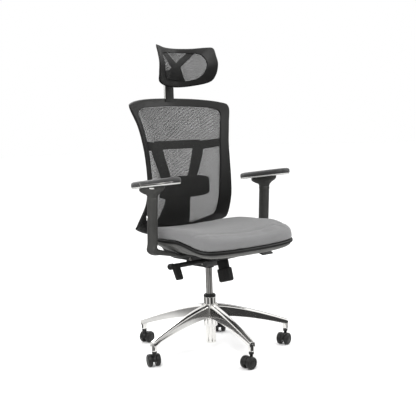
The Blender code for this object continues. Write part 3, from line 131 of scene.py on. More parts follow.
SLEEVE_TOP = SLEEVE_HIGH[2]

# Half outlines, from the middle of the top to the middle of the bottom: share of the half width,
# distance behind the front, share of the height
BACK_OUTER = (
    (0.000, 0.134, 1.000), (0.517, 0.112, 0.992), (0.880, 0.070, 0.968), (1.000, 0.046, 0.932),
    (0.922, 0.024, 0.803), (0.867, 0.013, 0.668), (0.849, 0.004, 0.533), (0.849, 0.000, 0.398),
    (0.871, 0.009, 0.263), (0.923, 0.053, 0.120), (0.860, 0.083, 0.078), (0.480, 0.123, 0.022),
    (0.000, 0.143, 0.000),
)
BACK_INNER = (
    (0.000, 0.125, 0.939), (0.461, 0.106, 0.932), (0.738, 0.077, 0.919), (0.836, 0.059, 0.885),
    (0.797, 0.047, 0.803), (0.745, 0.039, 0.668), (0.720, 0.034, 0.533), (0.701, 0.035, 0.398),
    (0.697, 0.042, 0.263), (0.679, 0.063, 0.157), (0.613, 0.080, 0.122), (0.325, 0.115, 0.083),
    (0.000, 0.128, 0.066),
)
HEAD_OUTER = (
    (0.00, 0.000, 0.965), (0.45, -0.018, 0.970), (0.84, -0.052, 0.995), (0.97, -0.070, 0.970),
    (0.99, -0.083, 0.790), (1.00, -0.093, 0.560), (0.97, -0.083, 0.300), (0.86, -0.060, 0.120),
    (0.45, -0.018, 0.030), (0.00, 0.000, 0.000),
)
HEAD_INNER = (
    (0.00, -0.003, 0.840), (0.40, -0.018, 0.840), (0.62, -0.036, 0.820), (0.71, -0.050, 0.740),
    (0.73, -0.063, 0.630), (0.72, -0.066, 0.500), (0.66, -0.055, 0.340), (0.54, -0.036, 0.220),
    (0.30, -0.014, 0.170), (0.00, -0.003, 0.160),
)
# The seat's plan: share of the half width, share of the depth from the front
SEAT_PLAN = (
    (0.00, 0.000), (0.46, 0.012), (0.84, 0.060), (0.97, 0.130), (1.00, 0.220),
    (1.00, 0.410), (0.99, 0.610), (0.93, 0.780), (0.74, 0.915), (0.40, 0.985), (0.00, 1.000),
)


# What a user may change


class ChairFinish(bpy.types.PropertyGroup):
    """Colours and surface detail of the chair's materials."""

    seat_colour: bpy.props.FloatVectorProperty(
        name="Seat cloth", description="Colour of the seat's cloth", subtype="COLOR",
        default=(0.140, 0.140, 0.141), min=0, max=1)
    thread_colour: bpy.props.FloatVectorProperty(
        name="Mesh thread", description="Colour of the mesh's threads", subtype="COLOR",
        default=(0.012, 0.012, 0.0115), min=0, max=1)
    plastic_colour: bpy.props.FloatVectorProperty(
        name="Black plastic", description="Colour of the moulded frames", subtype="COLOR",
        default=(0.0060, 0.0059, 0.0055), min=0, max=1)
    arm_colour: bpy.props.FloatVectorProperty(
        name="Arm plastic", description="Colour of the arms' plastic", subtype="COLOR",
        default=(0.034, 0.034, 0.032), min=0, max=1)
    shell_colour: bpy.props.FloatVectorProperty(
        name="Shell plastic", description="Colour of the seat's shell", subtype="COLOR",
        default=(0.115, 0.115, 0.110), min=0, max=1)
    metal_colour: bpy.props.FloatVectorProperty(
        name="Polished metal", description="Colour of the polished base", subtype="COLOR",
        default=(0.80, 0.79, 0.77), min=0, max=1)
    mesh_pitch: bpy.props.FloatProperty(
        name="Mesh pitch", description="Distance between the mesh's threads", default=0.0021,
        min=0.0008, max=0.01, unit="LENGTH", precision=4)
    mesh_cover: bpy.props.FloatProperty(
        name="Mesh cover", description="Share of the mesh that its threads fill", default=0.74,
        min=0.2, max=0.95, subtype="FACTOR")
    weave_pitch: bpy.props.FloatProperty(
        name="Weave pitch", description="Distance between the seat cloth's yarns", default=0.0013,
        min=0.0005, max=0.01, unit="LENGTH", precision=4)


class ChairShape(bpy.types.PropertyGroup):
    """Sizes of the soft pieces and of the edges."""

    edge_radius: bpy.props.FloatProperty(
        name="Moulded edge", description="Radius of the moulded pieces' edges", default=0.0032,
        min=0.0005, max=0.008, unit="LENGTH", precision=4)
    cushion_swell: bpy.props.FloatProperty(
        name="Cushion swell", description="How far the cushion may swell", default=0.005,
        min=0.0, max=0.02, unit="LENGTH", precision=4)
    seam_depth: bpy.props.FloatProperty(
        name="Seam depth", description="Depth of the cushion's sewn channels", default=0.0018,
        min=0.0, max=0.008, unit="LENGTH", precision=4)


class ChairStage(bpy.types.PropertyGroup):
    """The camera and the light."""

    bearing: bpy.props.FloatProperty(
        name="Bearing", description="Direction that the camera looks in, from +Y towards +X",
        default=radians(41.77), subtype="ANGLE")
    dip: bpy.props.FloatProperty(
        name="Dip", description="How far the camera looks down", default=radians(5.5),
        subtype="ANGLE")
    roll: bpy.props.FloatProperty(
        name="Roll", description="How far the camera leans", default=radians(-2.0), subtype="ANGLE")
    place: bpy.props.FloatVectorProperty(
        name="Place", description="Where the camera stands", default=(-2.2026, -2.4748, 0.9195),
        subtype="TRANSLATION", unit="LENGTH")
    lens: bpy.props.FloatProperty(
        name="Lens", description="Focal length in millimetres", default=69.15, min=20, max=200)


def settings():
    scene = bpy.context.scene
    return scene.chair_finish, scene.chair_shape, scene.chair_stage


# Surfaces: each is (points, quads, triangles)


def unit(vectors):
    """Each row's direction."""
    return vectors / np.maximum(np.linalg.norm(vectors, axis=-1, keepdims=True), 1e-12)


def rounded(rings, radius, steps=4):
    """Swaps every corner of closed rings for a curve that leaves its sides this far from it:
    (1 - t)^2 start + 2 t (1 - t) corner + t^2 end."""
    rings = np.asarray(rings, float)
    before, after = np.roll(rings, 1, axis=-2) - rings, np.roll(rings, -1, axis=-2) - rings
    long_before = np.linalg.norm(before, axis=-1, keepdims=True)
    long_after = np.linalg.norm(after, axis=-1, keepdims=True)
    reach = np.asarray(radius, float)
    reach = reach[:, None] if reach.ndim == 1 else reach
    reach = np.minimum(reach, 0.46 * np.minimum(long_before, long_after))
    start = (rings + unit(before) * reach)[..., None, :]
    end = (rings + unit(after) * reach)[..., None, :]
    t = np.linspace(0, 1, steps + 1)[:, None]
    curve = (1 - t) ** 2 * start + 2 * t * (1 - t) * rings[..., None, :] + t**2 * end
    return curve.reshape(*rings.shape[:-2], -1, 3)


def smooth(keys, samples, loop=False):
    """A Catmull-Rom curve through rows of keys, each of any shape."""
    keys = np.asarray(keys, float)
    if not loop:
        keys = np.concatenate([2 * keys[:1] - keys[1:2], keys, 2 * keys[-1:] - keys[-2:-1]])
    a, b, c, d = (np.roll(keys, shift, axis=0) for shift in (1, 0, -1, -2))
    if not loop:
        a, b, c, d = a[1:-2], b[1:-2], c[1:-2], d[1:-2]
    t = (np.arange(samples) / samples).reshape(-1, *([1] * keys.ndim))
    rows = 0.5 * (2 * b + (c - a) * t + (2 * a - 5 * b + 4 * c - d) * t**2
                  + (3 * b - a - 3 * c + d) * t**3)
    rows = np.swapaxes(rows, 0, 1).reshape(-1, *keys.shape[1:])
    return rows if loop else np.concatenate([rows, keys[-2:-1]])


def skin(rings, loop=False, ends=0.0, steps=4):
    """A closed surface over rings of points. Open runs end in a cap whose edge is rounded: the end
    ring is drawn in by (1 - cos a) and set back by (1 - sin a) of the radius."""
    rings = np.asarray(rings, float)
    if not loop and ends > 0:
        rings = np.concatenate([cap_rings(rings, ends, steps)[::-1], rings[1:-1],
                                cap_rings(rings[::-1], ends, steps)])
    count, around = rings.shape[:2]
    points = rings.reshape(-1, 3)
    rows = np.arange(count if loop else count - 1)[:, None]
    cols = np.arange(around)[None]
    here, there = rows * around, (rows + 1) % count * around
    after = (cols + 1) % around
    quads = np.stack([here + cols, here + after, there + after, there + cols], -1).reshape(-1, 4)
    triangles = np.zeros((0, 3), int)
    if not loop:
        centres = np.stack([rings[0].mean(0), rings[-1].mean(0)])
        base, last = len(points), (count - 1) * around
        ring = np.arange(around)
        turn = (ring + 1) % around
        triangles = np.concatenate([
            np.stack([np.full(around, base), turn, ring], -1),
            np.stack([np.full(around, base + 1), last + ring, last + turn], -1)])
        points = np.concatenate([points, centres])
    return outward(points, quads, triangles)


def cap_rings(rings, radius, steps):
    """The rounded edge of one end, from its full ring out to its drawn-in one."""
    middle = rings[0].mean(0)
    back = rings[1].mean(0) - middle
    reach = min(radius, 0.9 * np.linalg.norm(back))
    back = unit(back)
    share = unit(rings[0] - middle)
    size = np.linalg.norm(rings[0] - middle, axis=1).min()
    draw = min(radius, 0.6 * size)
    angle = np.linspace(0, pi / 2, steps + 1)[:, None, None]
    return (rings[0] + back * reach * (1 - np.sin(angle)) - share * draw * (1 - np.cos(angle)))


def outward(points, quads, triangles):
    """Turns a closed surface's faces round if its signed volume is negative."""
    faces = np.concatenate([quads[:, [0, 1, 2]], quads[:, [0, 2, 3]], triangles])
    a, b, c = (points[faces[:, i]] for i in range(3))
    if np.einsum("ij,ij->i", a, np.cross(b, c)).sum() < 0:
        quads, triangles = quads[:, ::-1], triangles[:, ::-1]
    return points, quads, triangles


def joined(*parts):
    """Several surfaces as one."""
    points, quads, triangles, base = [], [], [], 0
    for p, q, t in parts:
        points.append(p)
        quads.append(q + base)
        triangles.append(t + base)
        base += len(p)
    return np.concatenate(points), np.concatenate(quads), np.concatenate(triangles)


def mirrored(part):
    """The same surface on the other side of the chair."""
    points, quads, triangles = part
    return points * (-1, 1, 1), quads[:, ::-1], triangles[:, ::-1]


def axis_turn(axis):
    """A rotation that takes +Z to the axis."""
    return np.array(Vector((0, 0, 1)).rotation_difference(Vector(axis)).to_matrix())


def turned(profile, centre=(0, 0, 0), axis=(0, 0, 1), segments=64, soft=0.0006, wave=None):
    """Turns a (radius, height) outline about an axis, its corners eased by quadratic curves. wave
    is a function of (angle, height) that multiplies the radius."""
    outline = np.array(profile, float)
    ends = outline[[0, -1]]
    inner = np.column_stack([outline, np.zeros(len(outline))])
    inner = rounded(inner, soft, 3)[:, :2]
    keep = slice(4, len(inner) - 4) if outline[0, 0] == 0 else slice(0, len(inner))
    inner = inner[keep]
    if outline[0, 0] == 0:
        inner = np.vstack([ends[:1] + (1e-4, 0), inner, ends[1:] + (1e-4, 0)])
    angle = np.linspace(0, 2 * pi, segments, endpoint=False)
    radius, height = inner[:, 0, None], inner[:, 1, None]
    swell = wave(angle[None], height) if wave else 1.0
    rings = np.stack(np.broadcast_arrays(radius * np.cos(angle) * swell,
                                         radius * np.sin(angle) * swell, height), -1)
    rings = rings @ axis_turn(axis).T + np.array(centre)
    return skin(rings, loop=outline[0, 0] != 0)


def oval(centre, half_x, half_y, count=48, power=2.0, lean=0.0):
    """A superellipse |x/a|^p + |y/b|^p = 1 in a level plane, leant about X to lift its front."""
    angle = 2 * pi * (np.arange(count) + 0.5) / count
    c, s = np.cos(angle), np.sin(angle)
    x = half_x * np.abs(c) ** (2 / power) * np.sign(c)
    y = half_y * np.abs(s) ** (2 / power) * np.sign(s)
    return np.array(centre) + np.column_stack([x, y * cos(lean), -y * sin(lean)])


def pipe(path, radius, around=10, loop=False):
    """A round bead along a path: the section turns in the plane square to each step."""
    path = np.asarray(path, float)
    ahead = np.roll(path, -1, 0) - np.roll(path, 1, 0) if loop else np.gradient(path, axis=0)
    ahead = unit(ahead)
    side = unit(np.cross(ahead, np.array([0.31, 0.17, 0.93])))
    up = np.cross(ahead, side)
    angle = np.linspace(0, 2 * pi, around, endpoint=False)[:, None]
    rings = path[:, None] + radius * (np.cos(angle) * side[:, None] + np.sin(angle) * up[:, None])
    return skin(rings, loop=loop)


def block(low, high, radius=0.001):
    """A box with rounded edges."""
    (x0, y0, z0), (x1, y1, z1) = low, high
    ring = [(x0, y0), (x1, y0), (x1, y1), (x0, y1)]
    rings = [[(x, y, z) for x, y in ring] for z in (z0, z1)]
    return skin(rounded(rings, radius), ends=radius)


def plate(outline, low_x, high_x, radius=0.0015):
    """A (y, z) outline carried across X, with its edges rounded."""
    rings = [[(x, y, z) for y, z in outline] for x in (low_x, high_x)]
    return skin(rounded(rings, radius), ends=radius)


def build(name, part, material, sharp=50):
    """Makes the object: merges doubled points, and shades it smooth between sharp edges."""
    points, quads, triangles = part
    mesh = bpy.data.meshes.new(name)
    mesh.from_pydata(points.tolist(), [], quads.tolist() + triangles.tolist())
    piece = bpy.data.objects.new(name, mesh)
    bpy.context.scene.collection.objects.link(piece)
    shell = bmesh.new()
    shell.from_mesh(mesh)
    bmesh.ops.remove_doubles(shell, verts=shell.verts, dist=2e-6)
    shell.to_mesh(mesh)
    shell.free()
    mesh.shade_smooth()
    mesh.set_sharp_from_angle(angle=radians(sharp))
    mesh.materials.append(material)
    return piece


def settle(piece, body, slot, *nodes):
    """Says which body the piece rides on and the nodes that it stands for. Its finish slot is not
    used.
    """
    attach(piece, body)
    if nodes:
        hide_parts(*nodes)
    return piece


def fit(name, part, finish, crease, body, slot, *nodes):
    """A piece built in a finish and settled on its body in place of its frame nodes."""
    piece = build(name, part, FINISHES[finish], crease)
    settle(piece, body, slot, *nodes)
    return piece


def eased_copy(node, name, width, segments=3):
    """A copy of a frame node with its doubles merged, flat faces joined and edges bevelled."""
    source = frame["nodes"][node]
    mesh = source.data.copy()
    mesh.name = name
    piece = bpy.data.objects.new(name, mesh)
    bpy.context.scene.collection.objects.link(piece)
    shell = bmesh.new()
    shell.from_mesh(mesh)
    bmesh.ops.remove_doubles(shell, verts=shell.verts, dist=1e-5)
    bmesh.ops.dissolve_limit(shell, angle_limit=radians(1.0), verts=shell.verts, edges=shell.edges)
    shell.to_mesh(mesh)
    shell.free()
    bevel = piece.modifiers.new("edges", "BEVEL")
    bevel.width = width
    bevel.segments = segments
    bevel.limit_method = "ANGLE"
    bevel.angle_limit = radians(32)
    bevel.harden_normals = False
    mesh.shade_smooth()
    mesh.set_sharp_from_angle(angle=radians(35))
    return piece


# Shader arithmetic


class Wire:
    """A shader socket, or a number, that takes part in Python arithmetic."""

    def __init__(self, tree, socket):
        self.tree = tree
        self.socket = socket

    def math(self, operation, *others):
        return self.tree.node("ShaderNodeMath", {"operation": operation}, (self, *others))

    def __add__(self, other):
        return self.math("ADD", other)

    def __sub__(self, other):
        return self.math("SUBTRACT", other)

    def __rsub__(self, other):
        return self.tree.node("ShaderNodeMath", {"operation": "SUBTRACT"}, (other, self))

    def __mul__(self, other):
        return self.math("MULTIPLY", other)

    def __truediv__(self, other):
        return self.math("DIVIDE", other)

    def __abs__(self):
        return self.math("ABSOLUTE")

    def sine(self):
        return self.math("SINE")

    def clamp(self, low=0.0, high=1.0):
        return self.math("MAXIMUM", low).math("MINIMUM", high)

    def ramp(self, start, end):
        """0 below start, 1 above end and straight between."""
        return ((self - start) / (end - start)).clamp()

    __radd__ = __add__
    __rmul__ = __mul__


class Maker:
    """A material's node tree, with its Principled shader ready."""

    def __init__(self, name, colour, roughness, metallic=0.0, **constants):
        self.material = bpy.data.materials.new(name)
        self.material.use_nodes = True
        self.tree = self.material.node_tree
        self.shader = self.tree.nodes["Principled BSDF"]
        self.material.diffuse_color = (*colour, 1.0)
        self.set("Base Color", (*colour, 1.0))
        self.set("Roughness", roughness)
        self.set("Metallic", metallic)
        for socket, value in constants.items():
            self.set(socket.replace("_", " "), value)

    def set(self, socket, value):
        """A constant goes on the socket itself and a wire is linked to it."""
        if isinstance(value, Wire):
            self.tree.links.new(value.socket, self.shader.inputs[socket])
        else:
            self.shader.inputs[socket].default_value = value

    def node(self, kind, choices=None, inputs=(), out=0):
        """Adds a node: choices are set first, then inputs by place or by name."""
        node = self.tree.nodes.new(kind)
        for key, value in (choices or {}).items():
            if key == "stops":
                for stop, (place, colour) in zip(self.stops(node, len(value)), value):
                    stop.position, stop.color = place, colour
            else:
                setattr(node, key, value)
        pairs = inputs.items() if isinstance(inputs, dict) else enumerate(inputs)
        for key, value in pairs:
            if isinstance(value, Wire):
                self.tree.links.new(value.socket, node.inputs[key])
            elif value is not None:
                node.inputs[key].default_value = value
        return Wire(self, node.outputs[out])

    @staticmethod
    def stops(node, count):
        while len(node.color_ramp.elements) < count:
            node.color_ramp.elements.new(0.5)
        return node.color_ramp.elements

    def place(self, source="Object", scale=(1.0, 1.0, 1.0), turn=(0.0, 0.0, 0.0)):
        """Coordinates in metres, scaled and turned."""
        where = self.node("ShaderNodeTexCoord", out=source)
        return self.node("ShaderNodeMapping", {}, {"Vector": where, "Scale": scale,
                                                   "Rotation": turn})

    def axes(self, where):
        """The three numbers of a vector."""
        split = self.tree.nodes.new("ShaderNodeSeparateXYZ")
        self.tree.links.new(where.socket, split.inputs[0])
        return [Wire(self, split.outputs[i]) for i in range(3)]

    def noise(self, where, scale, detail=2.0, rough=0.5):
        return self.node("ShaderNodeTexNoise", {}, {"Vector": where, "Scale": scale,
                                                    "Detail": detail, "Roughness": rough})

    def cells(self, where, scale):
        return self.node("ShaderNodeTexVoronoi", {}, {"Vector": where, "Scale": scale})

    def mix(self, share, first, second):
        """A colour between two colours."""
        return self.node("ShaderNodeMix", {"data_type": "RGBA"},
                         {0: share, 6: first, 7: second}, out=2)

    def bump(self, height, distance, strength=1.0):
        self.set("Normal", self.node("ShaderNodeBump", {}, {
            "Height": height, "Distance": distance, "Strength": strength}))


def shade(colour, factor):
    """A colour made lighter or darker."""
    return tuple(min(c * factor, 1.0) for c in tuple(colour)[:3]) + (1.0,)


# Materials


def moulded_plastic(name, colour, roughness=0.46, grain=1400.0, depth=0.00012):
    """Spark-eroded moulded plastic: a fine even grain, cloudy gloss and slightly rubbed patches."""
    m = Maker(name, colour, roughness, Specular_IOR_Level=0.34)
    where = m.place()
    grains = m.noise(where, grain, 2.0, 0.6)
    cloud = m.noise(where, 9.0, 3.0, 0.55)
    dust = m.noise(where, 70.0, 4.0, 0.65)
    m.set("Base Color", m.mix((cloud * 0.6 + dust * 0.4).ramp(0.35, 0.70), shade(colour, 0.82),
                              shade(colour, 1.35)))
    m.set("Roughness", (roughness - 0.07 + cloud * 0.10 + grains * 0.08).clamp(0.1, 0.9))
    m.bump(grains + dust * 0.25, depth)
    return m.material


def polished_metal(name, colour, roughness=0.10, streak=0.05, along=(6.0, 6.0, 90.0)):
    """Buffed metal: nearly a mirror, with faint buffing lines and a few dull clouds."""
    m = Maker(name, colour, roughness, 1.0)
    where = m.place()
    lines = m.noise(m.place(scale=along), 6.0, 4.0, 0.6)
    cloud = m.noise(where, 14.0, 3.0, 0.5)
    fine = m.noise(where, 420.0, 3.0, 0.6)
    m.set("Base Color", m.mix(cloud.ramp(0.3, 0.7), shade(colour, 0.90), shade(colour, 1.04)))
    m.set("Roughness", (roughness - 0.04 + lines * streak + cloud.ramp(0.45, 0.75) * 0.07).clamp(
        0.03, 0.7))
    m.bump(lines * 0.7 + fine * 0.3, 0.00006, 0.6)
    return m.material


def silver_paint(name, colour):
    """Satin silver lacquer: metal flakes under a clear coat, faintly clouded."""
    m = Maker(name, colour, 0.30, 0.45, Coat_Weight=0.3, Coat_Roughness=0.15)
    flakes = m.cells(m.place(), 2600.0)
    cloud = m.noise(m.place(), 30.0, 3.0)
    m.set("Base Color", m.mix(flakes * 0.5 + cloud * 0.5, shade(colour, 0.92),
                              shade(colour, 1.06)))
    m.set("Roughness", (0.24 + flakes * 0.10 + cloud * 0.08).clamp())
    m.bump(flakes, 0.00003, 0.4)
    return m.material


def bright_steel(name, colour, roughness=0.26):
    """Ground steel: fine lines square to the axis of a bar that stands up."""
    m = Maker(name, colour, roughness, 1.0)
    lines = m.noise(m.place(scale=(12.0, 12.0, 1500.0)), 1.0, 3.0, 0.6)
    cloud = m.noise(m.place(), 20.0, 3.0)
    m.set("Base Color", m.mix(cloud.ramp(0.3, 0.7), shade(colour, 0.85), shade(colour, 1.05)))
    m.set("Roughness", (roughness - 0.06 + lines * 0.14 + cloud * 0.05).clamp(0.05, 0.8))
    m.bump(lines, 0.00005, 0.5)
    return m.material


def painted_steel(name, colour):
    """Black powder coat on pressed steel: an orange-peel skin with a soft gloss."""
    m = Maker(name, colour, 0.38, Coat_Weight=0.0)
    where = m.place()
    peel = m.noise(where, 520.0, 2.0, 0.45)
    cloud = m.noise(where, 16.0, 3.0)
    m.set("Base Color", m.mix(cloud.ramp(0.35, 0.7), shade(colour, 0.8), shade(colour, 1.3)))
    m.set("Roughness", (peel * 0.16 + cloud * 0.10 + 0.24).clamp(0.1, 0.9))
    m.bump(peel, 0.00022, 0.8)
    return m.material


def grained_pad(name, colour):
    """Soft polyurethane with a fine leather grain: small cells with creases between them."""
    m = Maker(name, colour, 0.55, Sheen_Weight=0.15, Sheen_Roughness=0.5)
    where = m.place()
    cells = m.cells(where, 620.0)
    fine = m.noise(where, 900.0, 3.0, 0.6)
    cloud = m.noise(where, 11.0, 3.0)
    creases = cells.ramp(0.15, 0.62)
    # Painted shade: the colour is darker in the grain's creases and lighter on the cell tops
    m.set("Base Color", m.mix(creases * 0.6 + cloud * 0.4, shade(colour, 1.35),
                              shade(colour, 0.75)))
    m.set("Roughness", (0.47 + creases * 0.12 + cloud * 0.08).clamp())
    m.bump(1.0 - creases + fine * 0.25, 0.00022)
    return m.material


def seat_cloth(name, colour, pitch):
    """Plain woven polyester: crossing yarns one pitch apart, each a half sine, flecked and
    slightly slubbed, with a soft sheen. The pattern follows the piece's own UV map, in metres."""
    m = Maker(name, colour, 0.88, Sheen_Weight=0.30, Sheen_Roughness=0.45,
              Specular_IOR_Level=0.25)
    where = m.place("UV")
    drift = m.noise(m.place(), 60.0, 2.0)
    u, v, _ = m.axes(where)
    u, v = u + drift * pitch * 0.5, v + drift * pitch * 0.5
    warp = abs((u * (pi / pitch)).sine())
    weft = abs((v * (pi / pitch)).sine())
    over = ((u * (pi / pitch)).sine() * (v * (pi / pitch)).sine()).ramp(-0.25, 0.25)
    height = warp * over + weft * (1.0 - over)
    fleck = m.noise(m.place("UV", (1.0, 4.0, 1.0)), 480.0, 2.0, 0.7)
    cross = m.noise(m.place("UV", (4.0, 1.0, 1.0)), 480.0, 2.0, 0.7)
    cloud = m.noise(m.place(), 7.0, 3.0)
    # Painted shade mixed with the cloth's own flecks: the colour is darker where the yarns dip and
    # lighter on their crowns, while the flecks and clouds vary at random
    weave_shade_and_fleck = height * 0.45 + (fleck + cross) * 0.35 + cloud * 0.20
    m.set("Base Color", m.mix(weave_shade_and_fleck.ramp(0.28, 0.92), shade(colour, 0.62), shade(colour, 1.34)))
    m.set("Roughness", (0.96 - height * 0.14).clamp())
    m.bump(height + fleck * 0.3, 0.00030, 0.8)
    return m.material


def open_mesh(name, colour, pitch, cover):
    """Knitted open mesh: two sets of slanting threads with holes between them, and rows of tighter
    knit that run aslant, so that it reads as a fine diagonal pattern."""
    m = Maker(name, colour, 0.60, Sheen_Weight=0.05, Specular_IOR_Level=0.25)
    u, v, _ = m.axes(m.place("UV"))
    step = pi / pitch
    first = abs(((u + v * 0.55) * step).sine())
    second = abs(((u - v * 0.55) * step).sine())
    row = ((u * 0.55 + v) * (2 * pi / (pitch * 7.0))).sine()
    edge = 1.0 - sin((1.0 - (1.0 - cover) ** 0.5) * 0.5 * pi)
    thread = (1.0 - first).math("MAXIMUM", 1.0 - second)
    level = thread + row * 0.05 + (m.noise(m.place("UV"), 130.0, 2.0) - 0.5) * 0.12
    m.set("Alpha", level.ramp(edge - 0.08, edge + 0.08))
    # Painted highlight and shade: each thread is coloured lighter along its middle and darker at
    # its edges
    m.set("Base Color", m.mix(level.ramp(edge, 0.95), shade(colour, 0.75), shade(colour, 1.6)))
    m.set("Roughness", (0.80 - level * 0.15).clamp())
    m.bump(level, 0.0003, 0.7)
    return m.material


def pale_floor():
    m = Maker("pale_floor", (0.90, 0.90, 0.90), 0.8, Specular_IOR_Level=0.1)
    cloud = m.noise(m.place(), 1.5, 3.0)
    m.set("Base Color", m.mix(cloud, (0.90, 0.90, 0.90, 1.0), (0.92, 0.92, 0.92, 1.0)))
    return m.material


FINISHES = {}


def make_finishes():
    finish, _, _ = settings()
    plastic, metal = tuple(finish.plastic_colour), tuple(finish.metal_colour)
    FINISHES.update({
        "polished_aluminium": polished_metal("polished_aluminium", metal, 0.11, 0.06),
        "chrome": polished_metal("chrome", (0.84, 0.83, 0.80), 0.06, 0.03, (60.0, 60.0, 3.0)),
        "silver_trim": silver_paint("silver_trim", (0.84, 0.84, 0.82)),
        "steel": bright_steel("steel", (0.52, 0.51, 0.49)),
        "black_plastic": moulded_plastic("black_plastic", plastic),
        "castor_plastic": moulded_plastic("castor_plastic", shade(plastic, 0.8)[:3], 0.40, 900.0),
        "black_steel": painted_steel("black_steel", (0.020, 0.020, 0.020)),
        "grey_plastic": moulded_plastic("grey_plastic", tuple(finish.arm_colour), 0.40, 1100.0),
        "shell_grey": moulded_plastic("shell_grey", tuple(finish.shell_colour), 0.50, 900.0,
                                      0.0002),
        "pad_black": grained_pad("pad_black", (0.020, 0.020, 0.020)),
        "seat_fabric": seat_cloth("seat_fabric", tuple(finish.seat_colour), finish.weave_pitch),
        "mesh_fabric": open_mesh("mesh_fabric", tuple(finish.thread_colour), finish.mesh_pitch,
                                 finish.mesh_cover),
    })


# Shared outlines


def whole_loop(half):
    """Mirrors a half outline into a closed one."""
    half = np.asarray(half, float)
    flip = np.array([-1.0] + [1.0] * (half.shape[1] - 1))
    return np.vstack([half, half[-2:0:-1] * flip])


def outline(rows, half, front, bottom, height, samples):
    table = np.asarray(rows, float)
    keys = np.column_stack([table[:, 0] * half, front + table[:, 1], bottom + table[:, 2] * height])
    return smooth(whole_loop(keys), samples, loop=True)


def band(outer, inner, edge_depth, lip_depth, radius):
    """A moulded band: its section has a flat face, a deep outer wall and a shallow lip, and its
    corners are rounded."""
    inward = unit(inner - outer)
    back = np.array([0.0, 1.0, 0.0])
    rings = np.stack([outer + inward * 0.005, outer + inward * 0.0008 + back * 0.004,
                      outer + back * edge_depth, inner + back * lip_depth, inner], axis=1)
    return skin(rounded(rings, np.array([0.006, 0.004, radius, 0.002, 0.0016]), 4), loop=True)


def coons(loop, corner, side, samples, pull):
    """A sheet across a closed loop: the Coons patch of its four sides, drawn forward by
    pull * sin(pi u) * sin(pi v)^0.8."""
    steps, total, low = 2 * corner * samples, len(loop), side * samples
    top = loop[(np.arange(steps + 1) - corner * samples) % total]
    bottom = loop[(total - low - np.arange(steps + 1)) % total]
    count = low - corner * samples
    right = loop[corner * samples + np.arange(count + 1)]
    left = loop[(-corner * samples - np.arange(count + 1)) % total]
    u = np.linspace(0, 1, steps + 1)[None, :, None]
    v = np.linspace(0, 1, count + 1)[:, None, None]
    ruled = (1 - v) * top + v * bottom + (1 - u) * left[:, None] + u * right[:, None]
    square = (1 - v) * ((1 - u) * top[0] + u * top[-1]) + v * ((1 - u) * bottom[0] + u * bottom[-1])
    sheet = ruled - square
    sheet[..., 1] -= (pull * np.sin(pi * u) * np.clip(np.sin(pi * v), 0, 1) ** 0.8)[..., 0]
    return sheet


def cloth_sheet(name, sheet, material, thickness=0.0002):
    """An open grid with a thin wall and a UV map in metres, measured along its rows and columns."""
    rows, columns, _ = sheet.shape
    index = np.arange(rows * columns).reshape(rows, columns)
    quads = np.stack([index[:-1, :-1], index[1:, :-1], index[1:, 1:], index[:-1, 1:]], -1)
    mesh = bpy.data.meshes.new(name)
    mesh.from_pydata(sheet.reshape(-1, 3).tolist(), [], quads.reshape(-1, 4).tolist())
    piece = bpy.data.objects.new(name, mesh)
    bpy.context.scene.collection.objects.link(piece)
    centre = 0.5 * (sheet[:, :1] + sheet[:, -1:])
    u = sheet[..., 0] - centre[..., 0]
    v = np.concatenate([[0.0], np.cumsum(np.linalg.norm(np.diff(sheet[:, columns // 2], axis=0),
                                                        axis=1))])
    across = np.stack([u, np.broadcast_to(v[:, None], u.shape)], -1).reshape(-1, 2)
    corner = np.empty(len(mesh.loops), np.int32)
    mesh.loops.foreach_get("vertex_index", corner)
    mesh.uv_layers.new(name="cloth").data.foreach_set("uv", across[corner].ravel())
    if mesh.polygons[len(mesh.polygons) // 2].normal.y > 0:
        mesh.flip_normals()
    wall = piece.modifiers.new("wall", "SOLIDIFY")
    wall.thickness = thickness
    wall.offset = -1.0
    mesh.shade_smooth()
    mesh.materials.append(material)
    return piece


def sheet_size(sheet):
    """A sheet's width and length along its middle lines, and its area."""
    def run(line):
        return float(np.linalg.norm(np.diff(line, axis=0), axis=1).sum())

    across, down = np.diff(sheet, axis=1)[:-1], np.diff(sheet, axis=0)[:, :-1]
    area = float(np.linalg.norm(np.cross(across, down), axis=-1).sum())
    width = max(run(row) for row in sheet[::4])
    length = max(run(column) for column in np.swapaxes(sheet, 0, 1)[::4])
    return (width, length), area


# Base and castors


